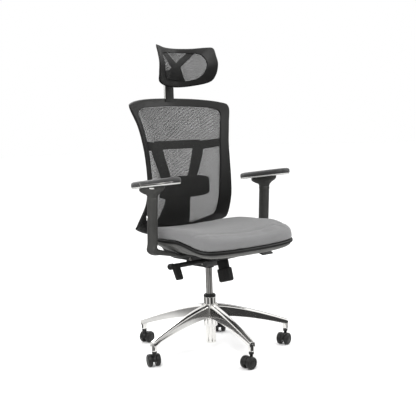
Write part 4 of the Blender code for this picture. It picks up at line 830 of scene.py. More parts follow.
def build_star():
    """Five arched legs with a hollow underside, the hub with its collar, and the castors'
    sockets. A leg's top falls as 0.25 s + 0.75 s^1.45 along its share s."""
    hub_radius, collar_radius = 0.0320, 0.0285
    hub_low, hub_high = TUBE_LOW[2] + HUB_ABOVE_FOOT, STAR_HIGH[2]
    socket_low = STAR_LOW[2]
    stems = [np.array(joint(f"castor_{n}_swivel")["pos_m"]) for n in CASTORS]
    tube = TUBE_HIGH[0] + GAP
    low_tube = tube - 0.004
    parts = [turned([(low_tube, hub_low), (collar_radius, hub_low),
                     (collar_radius, hub_low + 0.036), (hub_radius, hub_low + 0.042),
                     (hub_radius, hub_high), (tube, hub_high), (tube, hub_high - 0.03)],
                    soft=0.0015)]
    tip_top, tip_depth, root_depth = 0.104, 0.021, 0.056
    share = np.linspace(0, 1, 40)[:, None]
    for stem in stems:
        reach_out = np.linalg.norm(stem[:2])
        out = np.array([stem[0], stem[1], 0.0]) / reach_out
        across = np.array([-out[1], out[0], 0.0])
        start, end = 0.80 * hub_radius, reach_out + 0.0108
        reach = start + (end - start) * share
        root = hub_high - 0.0023
        top = root - (root - tip_top) * (0.25 * share + 0.75 * share**1.45)
        depth = root_depth + (tip_depth - root_depth) * share**0.8
        half = 0.0190 + (0.0125 - 0.0190) * share
        section = np.array([(-0.50, 0.0), (0.50, 0.0), (0.88, 0.16), (1.0, 1.0), (0.80, 1.0),
                            (0.66, 0.30), (-0.66, 0.30), (-0.80, 1.0), (-1.0, 1.0), (-0.88, 0.16)])
        side, drop = section[None, :, 0], section[None, :, 1]
        rings = (out * reach[..., None] + across * (side * half)[..., None]
                 + np.array([0, 0, 1.0]) * (top - drop * depth)[..., None])
        soft = np.array([.003, .003, .003, .0016, .0012, .003, .003, .0012, .0016, .003])
        parts.append(skin(rounded(rings, soft, 4), ends=0.0016))
        foot = (stem[0], stem[1], 0.0)
        parts.append(turned([(0.0, socket_low), (0.0100, socket_low), (0.0112, socket_low + 0.004),
                             (0.0115, tip_top - 0.010), (0.0115, tip_top - 0.0075),
                             (0.0, tip_top - 0.0075)], foot, segments=48, soft=0.0015))
    fit("star_base", joined(*parts), "polished_aluminium", CREASE, "base", "polished_aluminium",
        "base_star")


def castor_axes(number):
    """A castor's stem, its trail direction and its axle direction."""
    stem = np.array(joint(f"castor_{number}_swivel")["pos_m"])
    wheel = joint(f"castor_{number}_wheel_left_spin")
    hub, axle = np.array(wheel["pos_m"]), unit(np.array(wheel["axis"]))
    trail = unit(hub * (1, 1, 0) - stem * (1, 1, 0))
    return stem, hub, trail, axle


def build_wheel(number, side, label):
    """A wheel: rounded tread, a dished outer face with a raised cap, and a shallow ring."""
    _, hub, _, axle = castor_axes(number)
    radius, width, inner = 0.0250, 0.0190, 0.0068
    profile = [(0.0034, 0.0), (radius - 0.0030, 0.0), (radius - 0.0006, 0.0022),
               (radius, 0.0065), (radius, width - 0.0075), (radius - 0.0012, width - 0.0028),
               (radius - 0.0048, width - 0.0003), (radius - 0.0062, width - 0.0006),
               (radius - 0.0070, width - 0.0022), (radius - 0.0120, width - 0.0026),
               (radius - 0.0130, width - 0.0012), (0.0060, width - 0.0006),
               (0.0034, width - 0.0006), (0.0034, width - 0.004)]
    centre = hub + axle * side * inner
    part = turned(profile, centre, axle * side, 56, 0.0010)
    cap = turned([(0.0, width - 0.006), (0.0030, width - 0.006), (0.0030, width - 0.0010),
                  (0.0, width - 0.0006)], centre, axle * side, 24, 0.0004)
    name = f"castor_{number}_wheel_{label}"
    fit(name + "_tread", joined(part, cap), "castor_plastic", CREASE, name, "black_plastic", name)


def build_hood(number):
    """The hood between the wheels: an arched web, a flared lip over the treads, and the boss that
    the stem stands in."""
    stem, hub, trail, axle = castor_axes(number)
    half, radius = 0.0060, 0.0238
    up = np.array([0, 0, 1.0])
    angle = np.radians(np.r_[np.linspace(-6, 186, 30), np.linspace(205, 335, 10)])
    reach = np.where(np.arange(40) < 30, radius, 0.0078)
    rings = []
    for offset in (-half, half):
        rings.append(hub + axle * offset + trail * (reach * np.cos(angle))[:, None]
                     + up * (reach * np.sin(angle))[:, None])
    web = skin(np.array(rings), ends=0.0008)
    boss_top = STAR_LOW[2] - 0.0066
    boss = turned([(0.0, 0.040), (0.0062, 0.040), (0.0062, 0.0515), (0.0096, 0.0545),
                   (0.0096, boss_top), (0.0, boss_top)], (stem[0], stem[1], 0.0), soft=0.001,
                  segments=40)
    fit(f"castor_{number}_web", joined(web, boss), "castor_plastic", CREASE, f"castor_{number}",
        "black_plastic", f"castor_{number}_hood")


def build_stem(number):
    """The castor's steel stem with its collar and the groove of its grip ring."""
    low, high = corners(f"castor_{number}_stem")
    stem, _, _, _ = castor_axes(number)
    foot, collar = 0.0055, STAR_LOW[2] - GAP
    part = turned([(0.0, low[2]), (foot, low[2]), (foot, collar - 0.006), (0.0098, collar - 0.006),
                   (0.0102, collar - 0.0045), (0.0102, collar - 0.001), (0.0094, collar),
                   (foot - 0.0002, collar), (foot - 0.0002, high[2] - 0.005),
                   (foot - 0.0008, high[2] - 0.0045), (foot - 0.0008, high[2] - 0.0035),
                   (foot - 0.0002, high[2] - 0.003), (foot - 0.0015, high[2]), (0.0, high[2])],
                  (stem[0], stem[1], 0.0), segments=40, soft=0.0004)
    fit(f"castor_{number}_pin", part, "black_steel", CREASE, f"castor_{number}", "steel",
        f"castor_{number}_stem")


def build_castors():
    for number in CASTORS:
        build_stem(number)
        build_hood(number)
        for side, label in SIDES:
            build_wheel(number, side, label)


# Gas lift


def build_column():
    """The pressure tube with its ribbed clear foot, the guide ring, and the moving cylinder."""
    tube, foot, wall = TUBE_HIGH[0], 0.0210, 0.0025
    low, high = TUBE_LOW[2], TUBE_HIGH[2]
    hub_low, hub_high = low + HUB_ABOVE_FOOT, STAR_HIGH[2]

    def flutes(angle, height):
        """Nine shallow flutes down the foot: the radius times 1 - 0.05 |cos(9 a / 2)|^6."""
        below = np.clip((hub_low - 0.002 - height) / 0.004, 0, 1) * np.clip(
            (height - low - 0.006) / 0.004, 0, 1)
        return 1 - 0.05 * below * np.abs(np.cos(4.5 * angle)) ** 6

    outer = turned([(0.0, low), (foot, low), (foot, low + 0.008), (foot, hub_low - 0.004),
                    (foot, hub_low), (tube, hub_high), (tube, high),
                    (tube - wall, high), (tube - wall, hub_high), (foot - wall, hub_low),
                    (foot - wall, low + 0.004), (0.0, low + 0.004)], segments=108, soft=0.0008,
                   wave=flutes)
    fit("pressure_tube", outer, "chrome", CREASE, "base", "chrome", "gas_outer_tube")

    inner = CYLINDER_HIGH[0] + 0.0004
    top = BUSH_HIGH[2]
    sunk = tube - wall - GAP
    ring = turned([(inner, hub_high), (sunk, hub_high), (sunk, high + GAP),
                   (tube + 0.0005, high + GAP), (tube + 0.0005, high + 0.0045),
                   (tube - 0.0006, high + 0.0050), (tube - 0.0006, high + 0.0060),
                   (tube + 0.0004, high + 0.0066), (tube - 0.0002, top - 0.0035),
                   (CYLINDER_HIGH[0] + 0.006, top), (inner, top)], soft=0.0007)
    fit("guide_ring", ring, "black_plastic", CREASE, "base", "black_plastic", "gas_guide_bush")

    radius, base, crown = CYLINDER_HIGH[0], CYLINDER_LOW[2], CYLINDER_HIGH[2]
    bar = turned([(0.0054, base), (radius, base), (radius, crown - 0.004), (radius - 0.003, crown),
                  (0.0054, crown)], soft=0.0008)
    fit("lift_cylinder", bar, "steel", CREASE, "mechanism", "steel", "gas_cylinder")


# Mechanism


def steel_copy(node, name, body, *soft):
    """A frame node's own shape in black steel, with its edges eased."""
    piece = eased_copy(node, name, *soft)
    dress(piece, "black_steel")
    settle(piece, body, "black_steel", node)


def build_housing():
    """The pressed housing with eased edges, its collar, rivets and the return spring's ears."""
    steel_copy("mechanism_housing", "pressed_housing", "mechanism", 0.0012)
    parts = []
    for side in (-1, 1):
        x = side * (HOUSING_HIGH[0] - 0.0168)
        for y, z in ((0.022, 0.380), (-0.022, 0.376), (TILT_AXLE[1], TILT_AXLE[2])):
            reach = 0.0066 if y == TILT_AXLE[1] else 0.0042
            parts.append(turned([(0.0, 0.0), (reach, 0.0), (reach, 0.0012), (reach * 0.6, 0.0024),
                                 (0.0, 0.0026)], (x, y, z), (side, 0, 0), 28, 0.0005))
    fit("housing_rivets", joined(*parts), "steel", CREASE, "mechanism", "steel")


def build_knob():
    """The tension knob: a plain sleeve, then a grip whose radius swells between grooves as
    1 - depth * |cos(n a / 2)|^8."""
    def grooves(angle, height):
        inside = np.clip((height - 0.036) / 0.006, 0, 1) * np.clip((0.088 - height) / 0.006, 0, 1)
        return 1 - 0.055 * inside * np.abs(np.cos(6 * angle)) ** 10

    sleeve, grip, end = 0.0235, 0.0305, 0.090
    down = np.linspace(0.037, end - 0.006, 10)
    profile = [(0.0185, 0.030), (0.0185, GAP), (sleeve, GAP), (sleeve, 0.034),
               (grip - 0.002, 0.034)]
    profile += [(grip, h) for h in down] + [(grip - 0.003, end - 0.002), (grip - 0.007, end),
                                            (0.012, end - 0.0006), (0.012, end - 0.006)]
    part = turned(profile, KNOB_TOP, KNOB_DOWN, 144, 0.0010, grooves)
    cap = turned([(0.0, end - 0.008), (0.0119, end - 0.008), (0.0119, end - 0.0018),
                  (0.0, end - 0.0014)], KNOB_TOP, KNOB_DOWN, 48, 0.0006)
    fit("grooved_knob", joined(part, cap), "black_plastic", CREASE, "tension_knob",
        "black_plastic", "tension_knob")


def build_levers():
    """A round lever with a capped end and a paddle, and a flat lever on the other side."""
    axis = LEVER_AXIS
    y, z = axis[1], axis[2]
    far = -LEVER_LOW[0]
    bar = turned([(0.0, 0.035), (0.007, 0.035), (0.007, 0.075), (0.0098, 0.077),
                  (0.0100, far - 0.024), (0.0124, far - 0.022), (0.0126, far - 0.006),
                  (0.0095, far - 0.001), (0.0, far)], axis, (-1, 0, 0), 48, 0.0012)
    paddle = plate([(y + 0.008, z + 0.002), (y - 0.009, z + 0.004), (y - 0.030, z - 0.046),
                    (y - 0.027, z - 0.053), (y - 0.018, z - 0.052)], -far + 0.020, -far + 0.050,
                   0.0022)
    fit("lift_lever", joined(bar, paddle), "black_plastic", CREASE, "height_lever",
        "black_plastic", "height_lever")

    end = TILT_HIGH[0]
    bar = turned([(0.0, 0.035), (0.007, 0.035), (0.007, 0.075), (0.0055, 0.077),
                  (0.0055, end - 0.050), (0.0, end - 0.050)], axis, (1, 0, 0), 40, 0.0010)
    blade = plate([(y + 0.012, z + 0.003), (y - 0.004, z + 0.005), (y - 0.030, z - 0.010),
                   (y - 0.030, z - 0.016), (y + 0.010, z - 0.004)], end - 0.064, end, 0.0018)
    fit("recline_lever", joined(bar, blade), "black_plastic", CREASE, "tilt_lever",
        "black_plastic", "tilt_lever")


def build_carrier():
    steel_copy("seat_carrier", "seat_rails", "seat", 0.0012)
    steel_copy("back_bracket", "cranked_arm", "back", 0.0024, 4)


# Seat


def ease(value):
    value = np.clip(value, 0.0, 1.0)
    return value * value * (3 - 2 * value)


def board_height(y):
    """The board is level at the rear and falls away to the front edge."""
    run = 0.42 * (SEAT_REAR - SEAT_FRONT)
    return BOARD_Z - BOARD_DROP * ease((SEAT_FRONT + run - y) / run)


def cushion_height(x, y):
    """The cushion's top: dished from side to side, falling to the front and a little behind."""
    run = 0.34 * (SEAT_REAR - SEAT_FRONT)
    top = CUSHION_HIGH[2] + 0.002
    fall = 0.020 * ease((SEAT_FRONT + run - y) / run)
    rear = 0.010 * ease((y - SEAT_REAR + run) / run)
    return top - fall - rear - 0.015 * (1 - (x / SEAT_HALF) ** 2)


def seat_loop(share, samples=12):
    """The seat's plan outline, shrunk towards its middle."""
    table = np.asarray(SEAT_PLAN, float)
    keys = np.column_stack([table[:, 0] * SEAT_HALF,
                            SEAT_FRONT + table[:, 1] * (SEAT_REAR - SEAT_FRONT)])
    loop = smooth(whole_loop(keys), samples, loop=True)
    middle = np.array([0.0, 0.5 * (SEAT_FRONT + SEAT_REAR)])
    return middle + (loop - middle) * share


def seat_rings(rows, samples=12):
    """Rings at (share of the plan, height of x and y)."""
    rings = []
    for share, height in rows:
        loop = seat_loop(share, samples)
        rings.append(np.column_stack([loop, height(loop[:, 0], loop[:, 1])]))
    return np.array(rings)


def level_of(lift):
    return lambda x, y: board_height(y) + lift


def flat_at(z):
    return lambda x, y: np.full_like(x, z)


def build_shell():
    """The moulded underside: a level floor that sweeps up to a thin strip under the rim."""
    floor = SHELL_LOW[2]

    def sweep(share):
        """Part of the way from the floor to the strip under the rim."""
        return lambda x, y: floor + share * (board_height(y) - 0.018 - floor)

    rows = [(0.02, flat_at(floor)), (0.30, flat_at(floor)), (0.58, flat_at(floor)),
            (0.64, lambda x, y: np.maximum(floor, sweep(0.02)(x, y))), (0.78, sweep(0.42)),
            (0.90, level_of(-0.0185)), (0.935, level_of(-0.0165)), (0.962, level_of(-0.0110)),
            (0.968, level_of(-0.0095)), (0.970, level_of(-0.0075)), (0.970, level_of(-GAP)),
            (0.945, level_of(-GAP)), (0.90, level_of(-0.012)), (0.60, flat_at(floor + 0.004)),
            (0.02, flat_at(floor + 0.004))]
    fit("moulded_shell", skin(seat_rings(rows)), "shell_grey", CREASE, "seat", "shell_grey",
        "seat_shell")

    thick = 0.012
    rows = [(share, level_of(0.0)) for share in (0.02, 0.5, 0.96)]
    rows += [(0.990, level_of(0.0)), (0.997, level_of(0.0010)), (1.0, level_of(0.0030)),
             (1.001, level_of(0.0060)), (1.0, level_of(0.0090)), (0.997, level_of(0.0110)),
             (0.990, level_of(thick))]
    rows += [(share, level_of(thick)) for share in (0.96, 0.5, 0.02)]
    fit("board_rim", skin(seat_rings(rows)), "black_plastic", CREASE, "seat", "black_plastic",
        "seat_rim")


def cushion_rings(shrink):
    """The cushion before it swells: a flat base, an upright wall that leans in a little, a round
    shoulder and the dished top."""
    base = 0.012 + GAP

    def wall(along):
        return lambda x, y: (board_height(y) + base
                             + along * (cushion_height(x, y) - board_height(y) - base))

    rows = [(share, level_of(base)) for share in (0.02, 0.3, 0.6, 0.9)]
    rows += [(0.992, level_of(base)), (1.000 - shrink, wall(0.06)), (1.002 - shrink, wall(0.20)),
             (1.002 - shrink, wall(0.40)), (0.999 - shrink, wall(0.58)),
             (0.990 - shrink, wall(0.74)), (0.974 - shrink, wall(0.87)),
             (0.950 - shrink, wall(0.955))]
    rows += [(share, wall(1.0)) for share in (0.91, 0.85, 0.75, 0.62, 0.48, 0.34, 0.20, 0.08, 0.02)]
    return seat_rings(rows)


CUSHION_CLOTH = {
    "quality": 6, "mass": 0.3, "tension_stiffness": 18, "compression_stiffness": 18,
    "bending_stiffness": 2.5, "use_pressure": True, "uniform_pressure_force": 4.0,
}


def swell(piece, limit, pinned, voxel=0.0055, frames=20):
    """Cloth pressure on a remeshed copy: the points below the pinned height are held, and no point
    moves further than the limit."""
    remesh = piece.modifiers.new("voxels", "REMESH")
    remesh.mode, remesh.voxel_size = "VOXEL", voxel
    bake_modifiers(piece)
    mesh = piece.data
    rest = points_of(mesh)
    group = piece.vertex_groups.new(name="held")
    group.add(np.flatnonzero(pinned(rest)).tolist(), 1.0, "REPLACE")
    cloth = piece.modifiers.new("cloth", "CLOTH")
    for name, value in CUSHION_CLOTH.items():
        setattr(cloth.settings, name, value)
    cloth.settings.effector_weights.gravity = 0.0
    cloth.settings.vertex_group_mass = "held"
    cloth.collision_settings.use_collision = False
    cloth.point_cache.frame_start, cloth.point_cache.frame_end = 1, frames
    scene = bpy.context.scene
    for number in range(1, frames + 1):
        scene.frame_set(number)
    graph = bpy.context.evaluated_depsgraph_get()
    moved = points_of(piece.evaluated_get(graph).data)
    piece.modifiers.remove(cloth)
    scene.frame_set(1)
    shift = moved - rest
    size = np.linalg.norm(shift, axis=1, keepdims=True)
    shift *= np.minimum(1.0, limit / np.maximum(size, 1e-9))
    mesh.vertices.foreach_set("co", (rest + shift).astype(np.float32).ravel())
    mesh.update()


def points_of(mesh):
    points = np.empty(len(mesh.vertices) * 3, np.float32)
    mesh.vertices.foreach_get("co", points)
    return points.reshape(-1, 3).astype(float)


def bake_modifiers(piece):
    """Replaces the mesh by what its modifiers make of it."""
    graph = bpy.context.evaluated_depsgraph_get()
    baked = bpy.data.meshes.new_from_object(piece.evaluated_get(graph))
    piece.modifiers.clear()
    old, piece.data = piece.data, baked
    bpy.data.meshes.remove(old)


def subdivide(piece, levels=1):
    finer = piece.modifiers.new("finer", "SUBSURF")
    finer.levels = finer.render_levels = levels
    bake_modifiers(piece)


def smooth_mesh(piece, rounds):
    soften = piece.modifiers.new("soften", "SMOOTH")
    soften.factor, soften.iterations = 0.5, rounds
    bake_modifiers(piece)


def sew_cushion(piece, depth):
    """The sewn lines: one across the front where the waterfall begins, and one round the shoulder.
    Both are shallow channels with the cloth full on each side."""
    mesh = piece.data
    points = points_of(mesh)
    normals = np.empty(len(mesh.vertices) * 3, np.float32)
    mesh.vertices.foreach_get("normal", normals)
    normals = normals.reshape(-1, 3).astype(float)
    top = np.clip((normals[:, 2] - 0.35) / 0.4, 0, 1)
    front = SEAT_FRONT + 0.070 + 0.030 * (points[:, 0] / SEAT_HALF) ** 2
    line = points[:, 1] - front
    full = top * 0.35 * depth * np.exp(-((np.abs(line) - 0.020) / 0.012) ** 2)
    points -= normals * (top * depth * np.exp(-(line / 0.0075) ** 2))[:, None]
    points += normals * full[:, None]
    for side in (-1, 1):
        corner = np.abs(points[:, 0] - side * 0.925 * SEAT_HALF) + 0.7 * np.abs(
            points[:, 1] - SEAT_FRONT - 0.055)
        wall = 1 - top
        points += normals * (wall * 0.9 * depth * np.exp(-(corner / 0.012) ** 2))[:, None]
    mesh.vertices.foreach_set("co", points.astype(np.float32).ravel())
    mesh.update()


def box_map(mesh, name="cloth"):
    """A UV map in metres: each face is laid flat along the axis that it faces most."""
    count = len(mesh.polygons)
    normals = np.empty(count * 3, np.float32)
    mesh.polygons.foreach_get("normal", normals)
    facing = np.abs(normals.reshape(-1, 3)).argmax(axis=1)
    sides = np.empty(count, np.int32)
    mesh.polygons.foreach_get("loop_total", sides)
    facing = np.repeat(facing, sides)
    corner = np.empty(len(mesh.loops), np.int32)
    mesh.loops.foreach_get("vertex_index", corner)
    points = points_of(mesh)[corner]
    first = np.where(facing == 0, points[:, 1], points[:, 0])
    second = np.where(facing == 2, points[:, 1], points[:, 2])
    layer = mesh.uv_layers.get(name) or mesh.uv_layers.new(name=name)
    layer.data.foreach_set("uv", np.column_stack([first, second]).astype(np.float32).ravel())


def build_cushion():
    _, shape, _ = settings()
    part = skin(cushion_rings(0.003))
    piece = build("seat_pad", part, FINISHES["seat_fabric"], 180)
    base = 0.016
    swell(piece, shape.cushion_swell, lambda p: p[:, 2] < board_height(p[:, 1]) + base)
    smooth_mesh(piece, 18)
    subdivide(piece)
    sew_cushion(piece, shape.seam_depth)
    box_map(piece.data)
    piece.data.shade_smooth()
    settle(piece, "seat", "seat_fabric", "seat_cushion")


# Arms


PAD_TILT = radians(5.7)
PAD_MIDDLE = 0.5 * (PAD_LOW[0] + PAD_HIGH[0])


def along_post(height):
    """A point on the axis of the left arm's leaning post."""
    bottom = np.array([ARM_X, SLEEVE_Y, SLEEVE_TOP - SLEEVE_LENGTH])
    top = np.array([ARM_X, -0.036, SLEEVE_TOP])
    return bottom + (top - bottom) * (height - bottom[2]) / SLEEVE_LENGTH


def bar_ring(x, y, z, half_thick, half_y, tip, count=64):
    """An oval section of the arm's bar, tipped from level (0) to upright (a quarter turn)."""
    flat = oval((0, 0, 0), half_thick, half_y, count, 2.0 + tip)
    return np.column_stack([x + flat[:, 0] * cos(tip), y + flat[:, 1], z - flat[:, 0] * sin(tip)])


def sleeve_part():
    """The L-shaped arm: a leaning sleeve that turns in under the seat and flattens to a bar."""
    bottom, y = SLEEVE_TOP - SLEEVE_LENGTH, SLEEVE_Y
    rings = [oval(along_post(z), *SLEEVE_HALVES, 64) for z in
             (SLEEVE_TOP, SLEEVE_TOP - 0.060, SLEEVE_TOP - 0.120, bottom)]
    for offset, drop, half, tip in ((0.004, 0.020, 0.0170, 0.6), (-0.008, 0.0335, 0.0150, 0.95),
                                    (-0.030, 0.038, 0.0110, 1.35)):
        rings.append(bar_ring(ARM_X + offset, y, bottom - drop, half, 0.026, tip))
    level = SHELL_LOW[2] - GAP - 0.0068
    rings.append(bar_ring(BAR_TURN, y, level + 0.011, 0.0085, 0.026, 1.30))
    rings += [bar_ring(x, y, level, 0.0068, 0.026, pi / 2) for x in (BAR_FLAT, BAR_END)]
    return skin(smooth(np.array(rings), 6), ends=0.0020)


def sleeve_ribs():
    """A slim collar round the sleeve's mouth."""
    across, along = SLEEVE_HALVES
    rings = [oval(along_post(z), across + grow, along + grow, 64) for z, grow in
             ((SLEEVE_TOP - 0.010, -0.001), (SLEEVE_TOP - 0.0095, 0.0008),
              (SLEEVE_TOP - 0.0015, 0.0010), (SLEEVE_TOP - 0.0002, 0.0002))]
    return skin(np.array(rings))


def post_part():
    """The inner post and the flange that flares out under the pad."""
    crown = along_post(SLEEVE_TOP)
    x, y = crown[0], crown[1] + 0.002
    under = pad_bottom(y) - GAP
    rings = [oval(along_post(SLEEVE_TOP + lift), 0.0080, 0.0200, 64)
             for lift in (-0.158, -0.05, GAP)]
    rings += [oval((x, crown[1], SLEEVE_TOP + GAP), 0.0150, 0.0270, 64),
              oval((x, crown[1], SLEEVE_TOP + 0.006), 0.0158, 0.0280, 64),
              oval((x, crown[1], SLEEVE_TOP + 0.012), 0.0165, 0.0330, 64, lean=0.4 * PAD_TILT),
              oval((x, y, SLEEVE_TOP + 0.018), 0.0200, 0.0440, 64, 2.3, lean=PAD_TILT),
              oval((x, y, 0.5 * (SLEEVE_TOP + 0.018 + under - 0.010)), 0.0240, 0.0585, 64, 2.7,
                   lean=PAD_TILT),
              oval((x, y, under - 0.010), 0.0262, 0.0660, 64, 3.0, lean=PAD_TILT),
              oval((x, y, under - 0.0015), 0.0262, 0.0662, 64, 3.0, lean=PAD_TILT),
              oval((x, y, under), 0.0250, 0.0648, 64, 3.0, lean=PAD_TILT)]
    return skin(np.array(rings))


def pad_bottom(y):
    """Height of the plane under the pad's plate."""
    rear, rear_z = PAD_HIGH[1] + 0.001, PLATE_LOW[2] - 0.0005
    return rear_z + (rear - y) * np.tan(PAD_TILT)


def pad_ring(shrink, lift, count=96):
    """The pad's plan, a superellipse that narrows to the rear, at a height above its plane."""
    middle, half = 0.5 * (PAD_LOW[1] + PAD_HIGH[1]), 0.135
    flat = oval((0, 0, 0), 0.044 - shrink, half - shrink, count, 3.2)
    taper = 1.0 - 0.16 * np.clip(flat[:, 1] / half, 0, None)
    y = middle + flat[:, 1]
    return np.column_stack([PAD_MIDDLE + flat[:, 0] * taper, y, pad_bottom(y) + lift])


def plate_part():
    """The bright strip round the pad's foot, with the slide plate under it."""
    rows = ((0.020, 0.0003), (0.0045, 0.0), (0.0022, 0.0010), (0.0014, 0.0024), (0.0014, 0.0042),
            (0.0022, 0.0050), (0.020, 0.0050))
    return skin(np.array([pad_ring(shrink, lift) for shrink, lift in rows]))


def pad_part():
    """The soft pad: nearly upright walls, a round shoulder and a slightly crowned top."""
    base = 0.0053
    rows = ((0.030, base), (0.0030, base), (0.0012, base + 0.0012), (0.0004, base + 0.0035),
            (0.0, base + 0.0080), (0.0003, base + 0.0120), (0.0016, base + 0.0158),
            (0.0042, base + 0.0186), (0.0080, base + 0.0203), (0.0130, base + 0.0212),
            (0.0200, base + 0.0218), (0.0300, base + 0.0222), (0.0400, base + 0.0223))
    return skin(np.array([pad_ring(shrink, lift) for shrink, lift in rows]))


def inlay_part():
    """The bright inlay in the pad's outer wall, over its front half, with a short upright bar at
    its rear end, and the small catch on the flange under the pad."""
    lines = [pad_ring(-0.0005, lift, 384) for lift in (0.0075, 0.0105)]
    rings = []
    for line in lines:
        outer = line[(line[:, 0] > PAD_MIDDLE + 0.02) & (line[:, 1] < -0.008)]
        rings.append(outer[np.argsort(outer[:, 1])])
    lower, upper = rings
    out = np.array([0.0006, 0.0, 0.0])
    deep = np.array([-0.003, 0.0, 0.0])
    path = np.stack([lower + deep, lower + out, upper + out, upper + deep], axis=1)
    strip = skin(rounded(path, 0.0005, 2), ends=0.0006)
    rear = lower[-1]
    bar = block(rear + (-0.004, 0.0, -0.0045), rear + (0.0014, 0.0060, 0.0080), 0.0009)
    crown = along_post(SLEEVE_TOP)
    x, y = crown[0] + 0.0245, crown[1] - 0.030
    z = pad_bottom(y) - 0.0065
    catch = block((x - 0.002, y - 0.013, z - 0.0026), (x + 0.0030, y + 0.013, z + 0.0026), 0.0016)
    return joined(strip, bar), catch


def button_part(side):
    """The oval height button in the sleeve's side."""
    press = np.array(joint("arm_button_press_" + ("left" if side > 0 else "right"))["axis"])
    out = unit(-press)
    low, high = corners("arm_button_" + ("left" if side > 0 else "right"))
    middle = 0.5 * (low + high)
    across = np.array([-out[1], out[0], 0.0])
    angle = np.linspace(0, 2 * pi, 48, endpoint=False)[:, None]
    rings = []
    for reach, grow in ((-0.003, 1.0), (0.0016, 1.0), (0.0026, 0.93), (0.0031, 0.78),
                        (0.0033, 0.5)):
        rings.append(middle + out * reach + grow * (across * 0.0046 * np.cos(angle)
                                                    + np.array([0, 0, 0.0086]) * np.sin(angle)))
    return skin(np.array(rings))


def build_arms():
    for side, label in ((1, "left"), (-1, "right")):
        def sided(part):
            return part if side > 0 else mirrored(part)

        fit("sleeve_" + label, joined(sided(sleeve_part()), sided(sleeve_ribs())), "grey_plastic",
            WIDE_CREASE, "seat", "grey_plastic", "arm_sleeve_" + label)
        fit("post_" + label, sided(post_part()), "grey_plastic", WIDE_CREASE, "arm_post_" + label,
            "grey_plastic", "arm_post_" + label)
        fit("pad_strip_" + label, sided(plate_part()), "silver_trim", WIDE_CREASE,
            "arm_pad_" + label, "silver_trim", "arm_pad_plate_" + label)
        pad = fit("soft_pad_" + label, sided(pad_part()), "pad_black", 60, "arm_pad_" + label,
                  "pad_black", "arm_pad_" + label)
        edging, catch = inlay_part()
        fit("pad_inlay_" + label, sided(edging), "chrome", WIDE_CREASE, "arm_pad_" + label,
            "silver_trim")
        fit("flange_catch_" + label, sided(catch), "silver_trim", WIDE_CREASE, "arm_post_" + label,
            "silver_trim")
        fit("oval_button_" + label, button_part(side), "silver_trim", WIDE_CREASE,
            "arm_button_" + label, "silver_trim", "arm_button_" + label)


# Back


SPINE_SIDE = (
    (-0.037, 0.1645), (0.000, 0.1630), (0.069, 0.1420), (0.120, 0.1280), (0.179, 0.1130),
    (0.247, 0.0980), (0.449, 0.0800), (0.551, 0.0800), (0.703, 0.0840),
)
SPINE_LOWER = (
    (-0.037, 0.050), (0.000, 0.075), (0.069, 0.092), (0.120, 0.088), (0.179, 0.078),
    (0.247, 0.068), (0.323, 0.075), (0.372, 0.085),
)
SPINE_LEGS = (
    (0.672, 0.090, 0.134), (0.601, 0.082, 0.138), (0.525, 0.068, 0.121), (0.449, 0.054, 0.104),
    (0.380, 0.035, 0.090), (0.340, 0.020, 0.080),
)
SPINE_DEPTH = 0.014


def back_z(share):
    return BACK_BOTTOM + share * (BACK_TOP - BACK_BOTTOM)


def spine_front(z):
    heights = [back_z(share) for share, _ in SPINE_SIDE]
    return np.interp(z, heights, [BACK_FRONT + behind for _, behind in SPINE_SIDE])


def build_back():
    _, shape, _ = settings()
    samples = 14
    height = BACK_TOP - BACK_BOTTOM
    outer = outline(BACK_OUTER, BACK_HALF, BACK_FRONT, BACK_BOTTOM, height, samples)
    inner = outline(BACK_INNER, BACK_HALF, BACK_FRONT, BACK_BOTTOM, height, samples)
    ring = band(outer, inner, 0.017, 0.007, shape.edge_radius)
    inward = unit(inner - outer)
    bead = pipe(inner - inward * 0.0022 + (0, 0.0002, 0), 0.0017, 10, True)
    wall, front = 0.006, inner[0, 1] + 0.004
    half, deep = POST_HIGH[0] + wall, POST_Y + 0.007 + wall
    low, high = inner[0, 2] + 0.001, BACK_TOP - 0.003
    hole_x, hole_y = POST_HIGH[0] + 0.0004, 0.0074
    socket = [block((-half, front, low), (half, POST_Y - hole_y, high), 0.0018),
              block((-half, POST_Y + hole_y, low), (half, deep, high), 0.0018),
              block((-half, front, low), (-hole_x, deep, high), 0.0018),
              block((hole_x, front, low), (half, deep, high), 0.0018)]
    fit("back_ring", joined(ring, bead, *socket), "black_plastic", WIDE_CREASE, "back",
        "black_plastic", "back_frame")

    lip = inner + inward * 2 * GAP + np.array([0.0, 0.0025, 0.0])
    sheet = coons(lip, 3, 9, samples, 0.056)
    mesh = cloth_sheet("back_mesh_cloth", sheet, FINISHES["mesh_fabric"])
    settle(mesh, "back", "mesh_fabric", "back_mesh")
    flat, area = sheet_size(sheet)
    return outer, inner, sheet


def band_foot(outer, inner, samples, row, share, depths, gap=0.0007):
    """A point just behind a band at a row of its table, from its lip (0) to its outer edge (1)."""
    index = round(row * samples)
    lip = inner[index] + (0, depths[1], 0)
    edge = outer[index] + (0, depths[0], 0)
    return lip + (edge - lip) * share + (0, gap, 0)


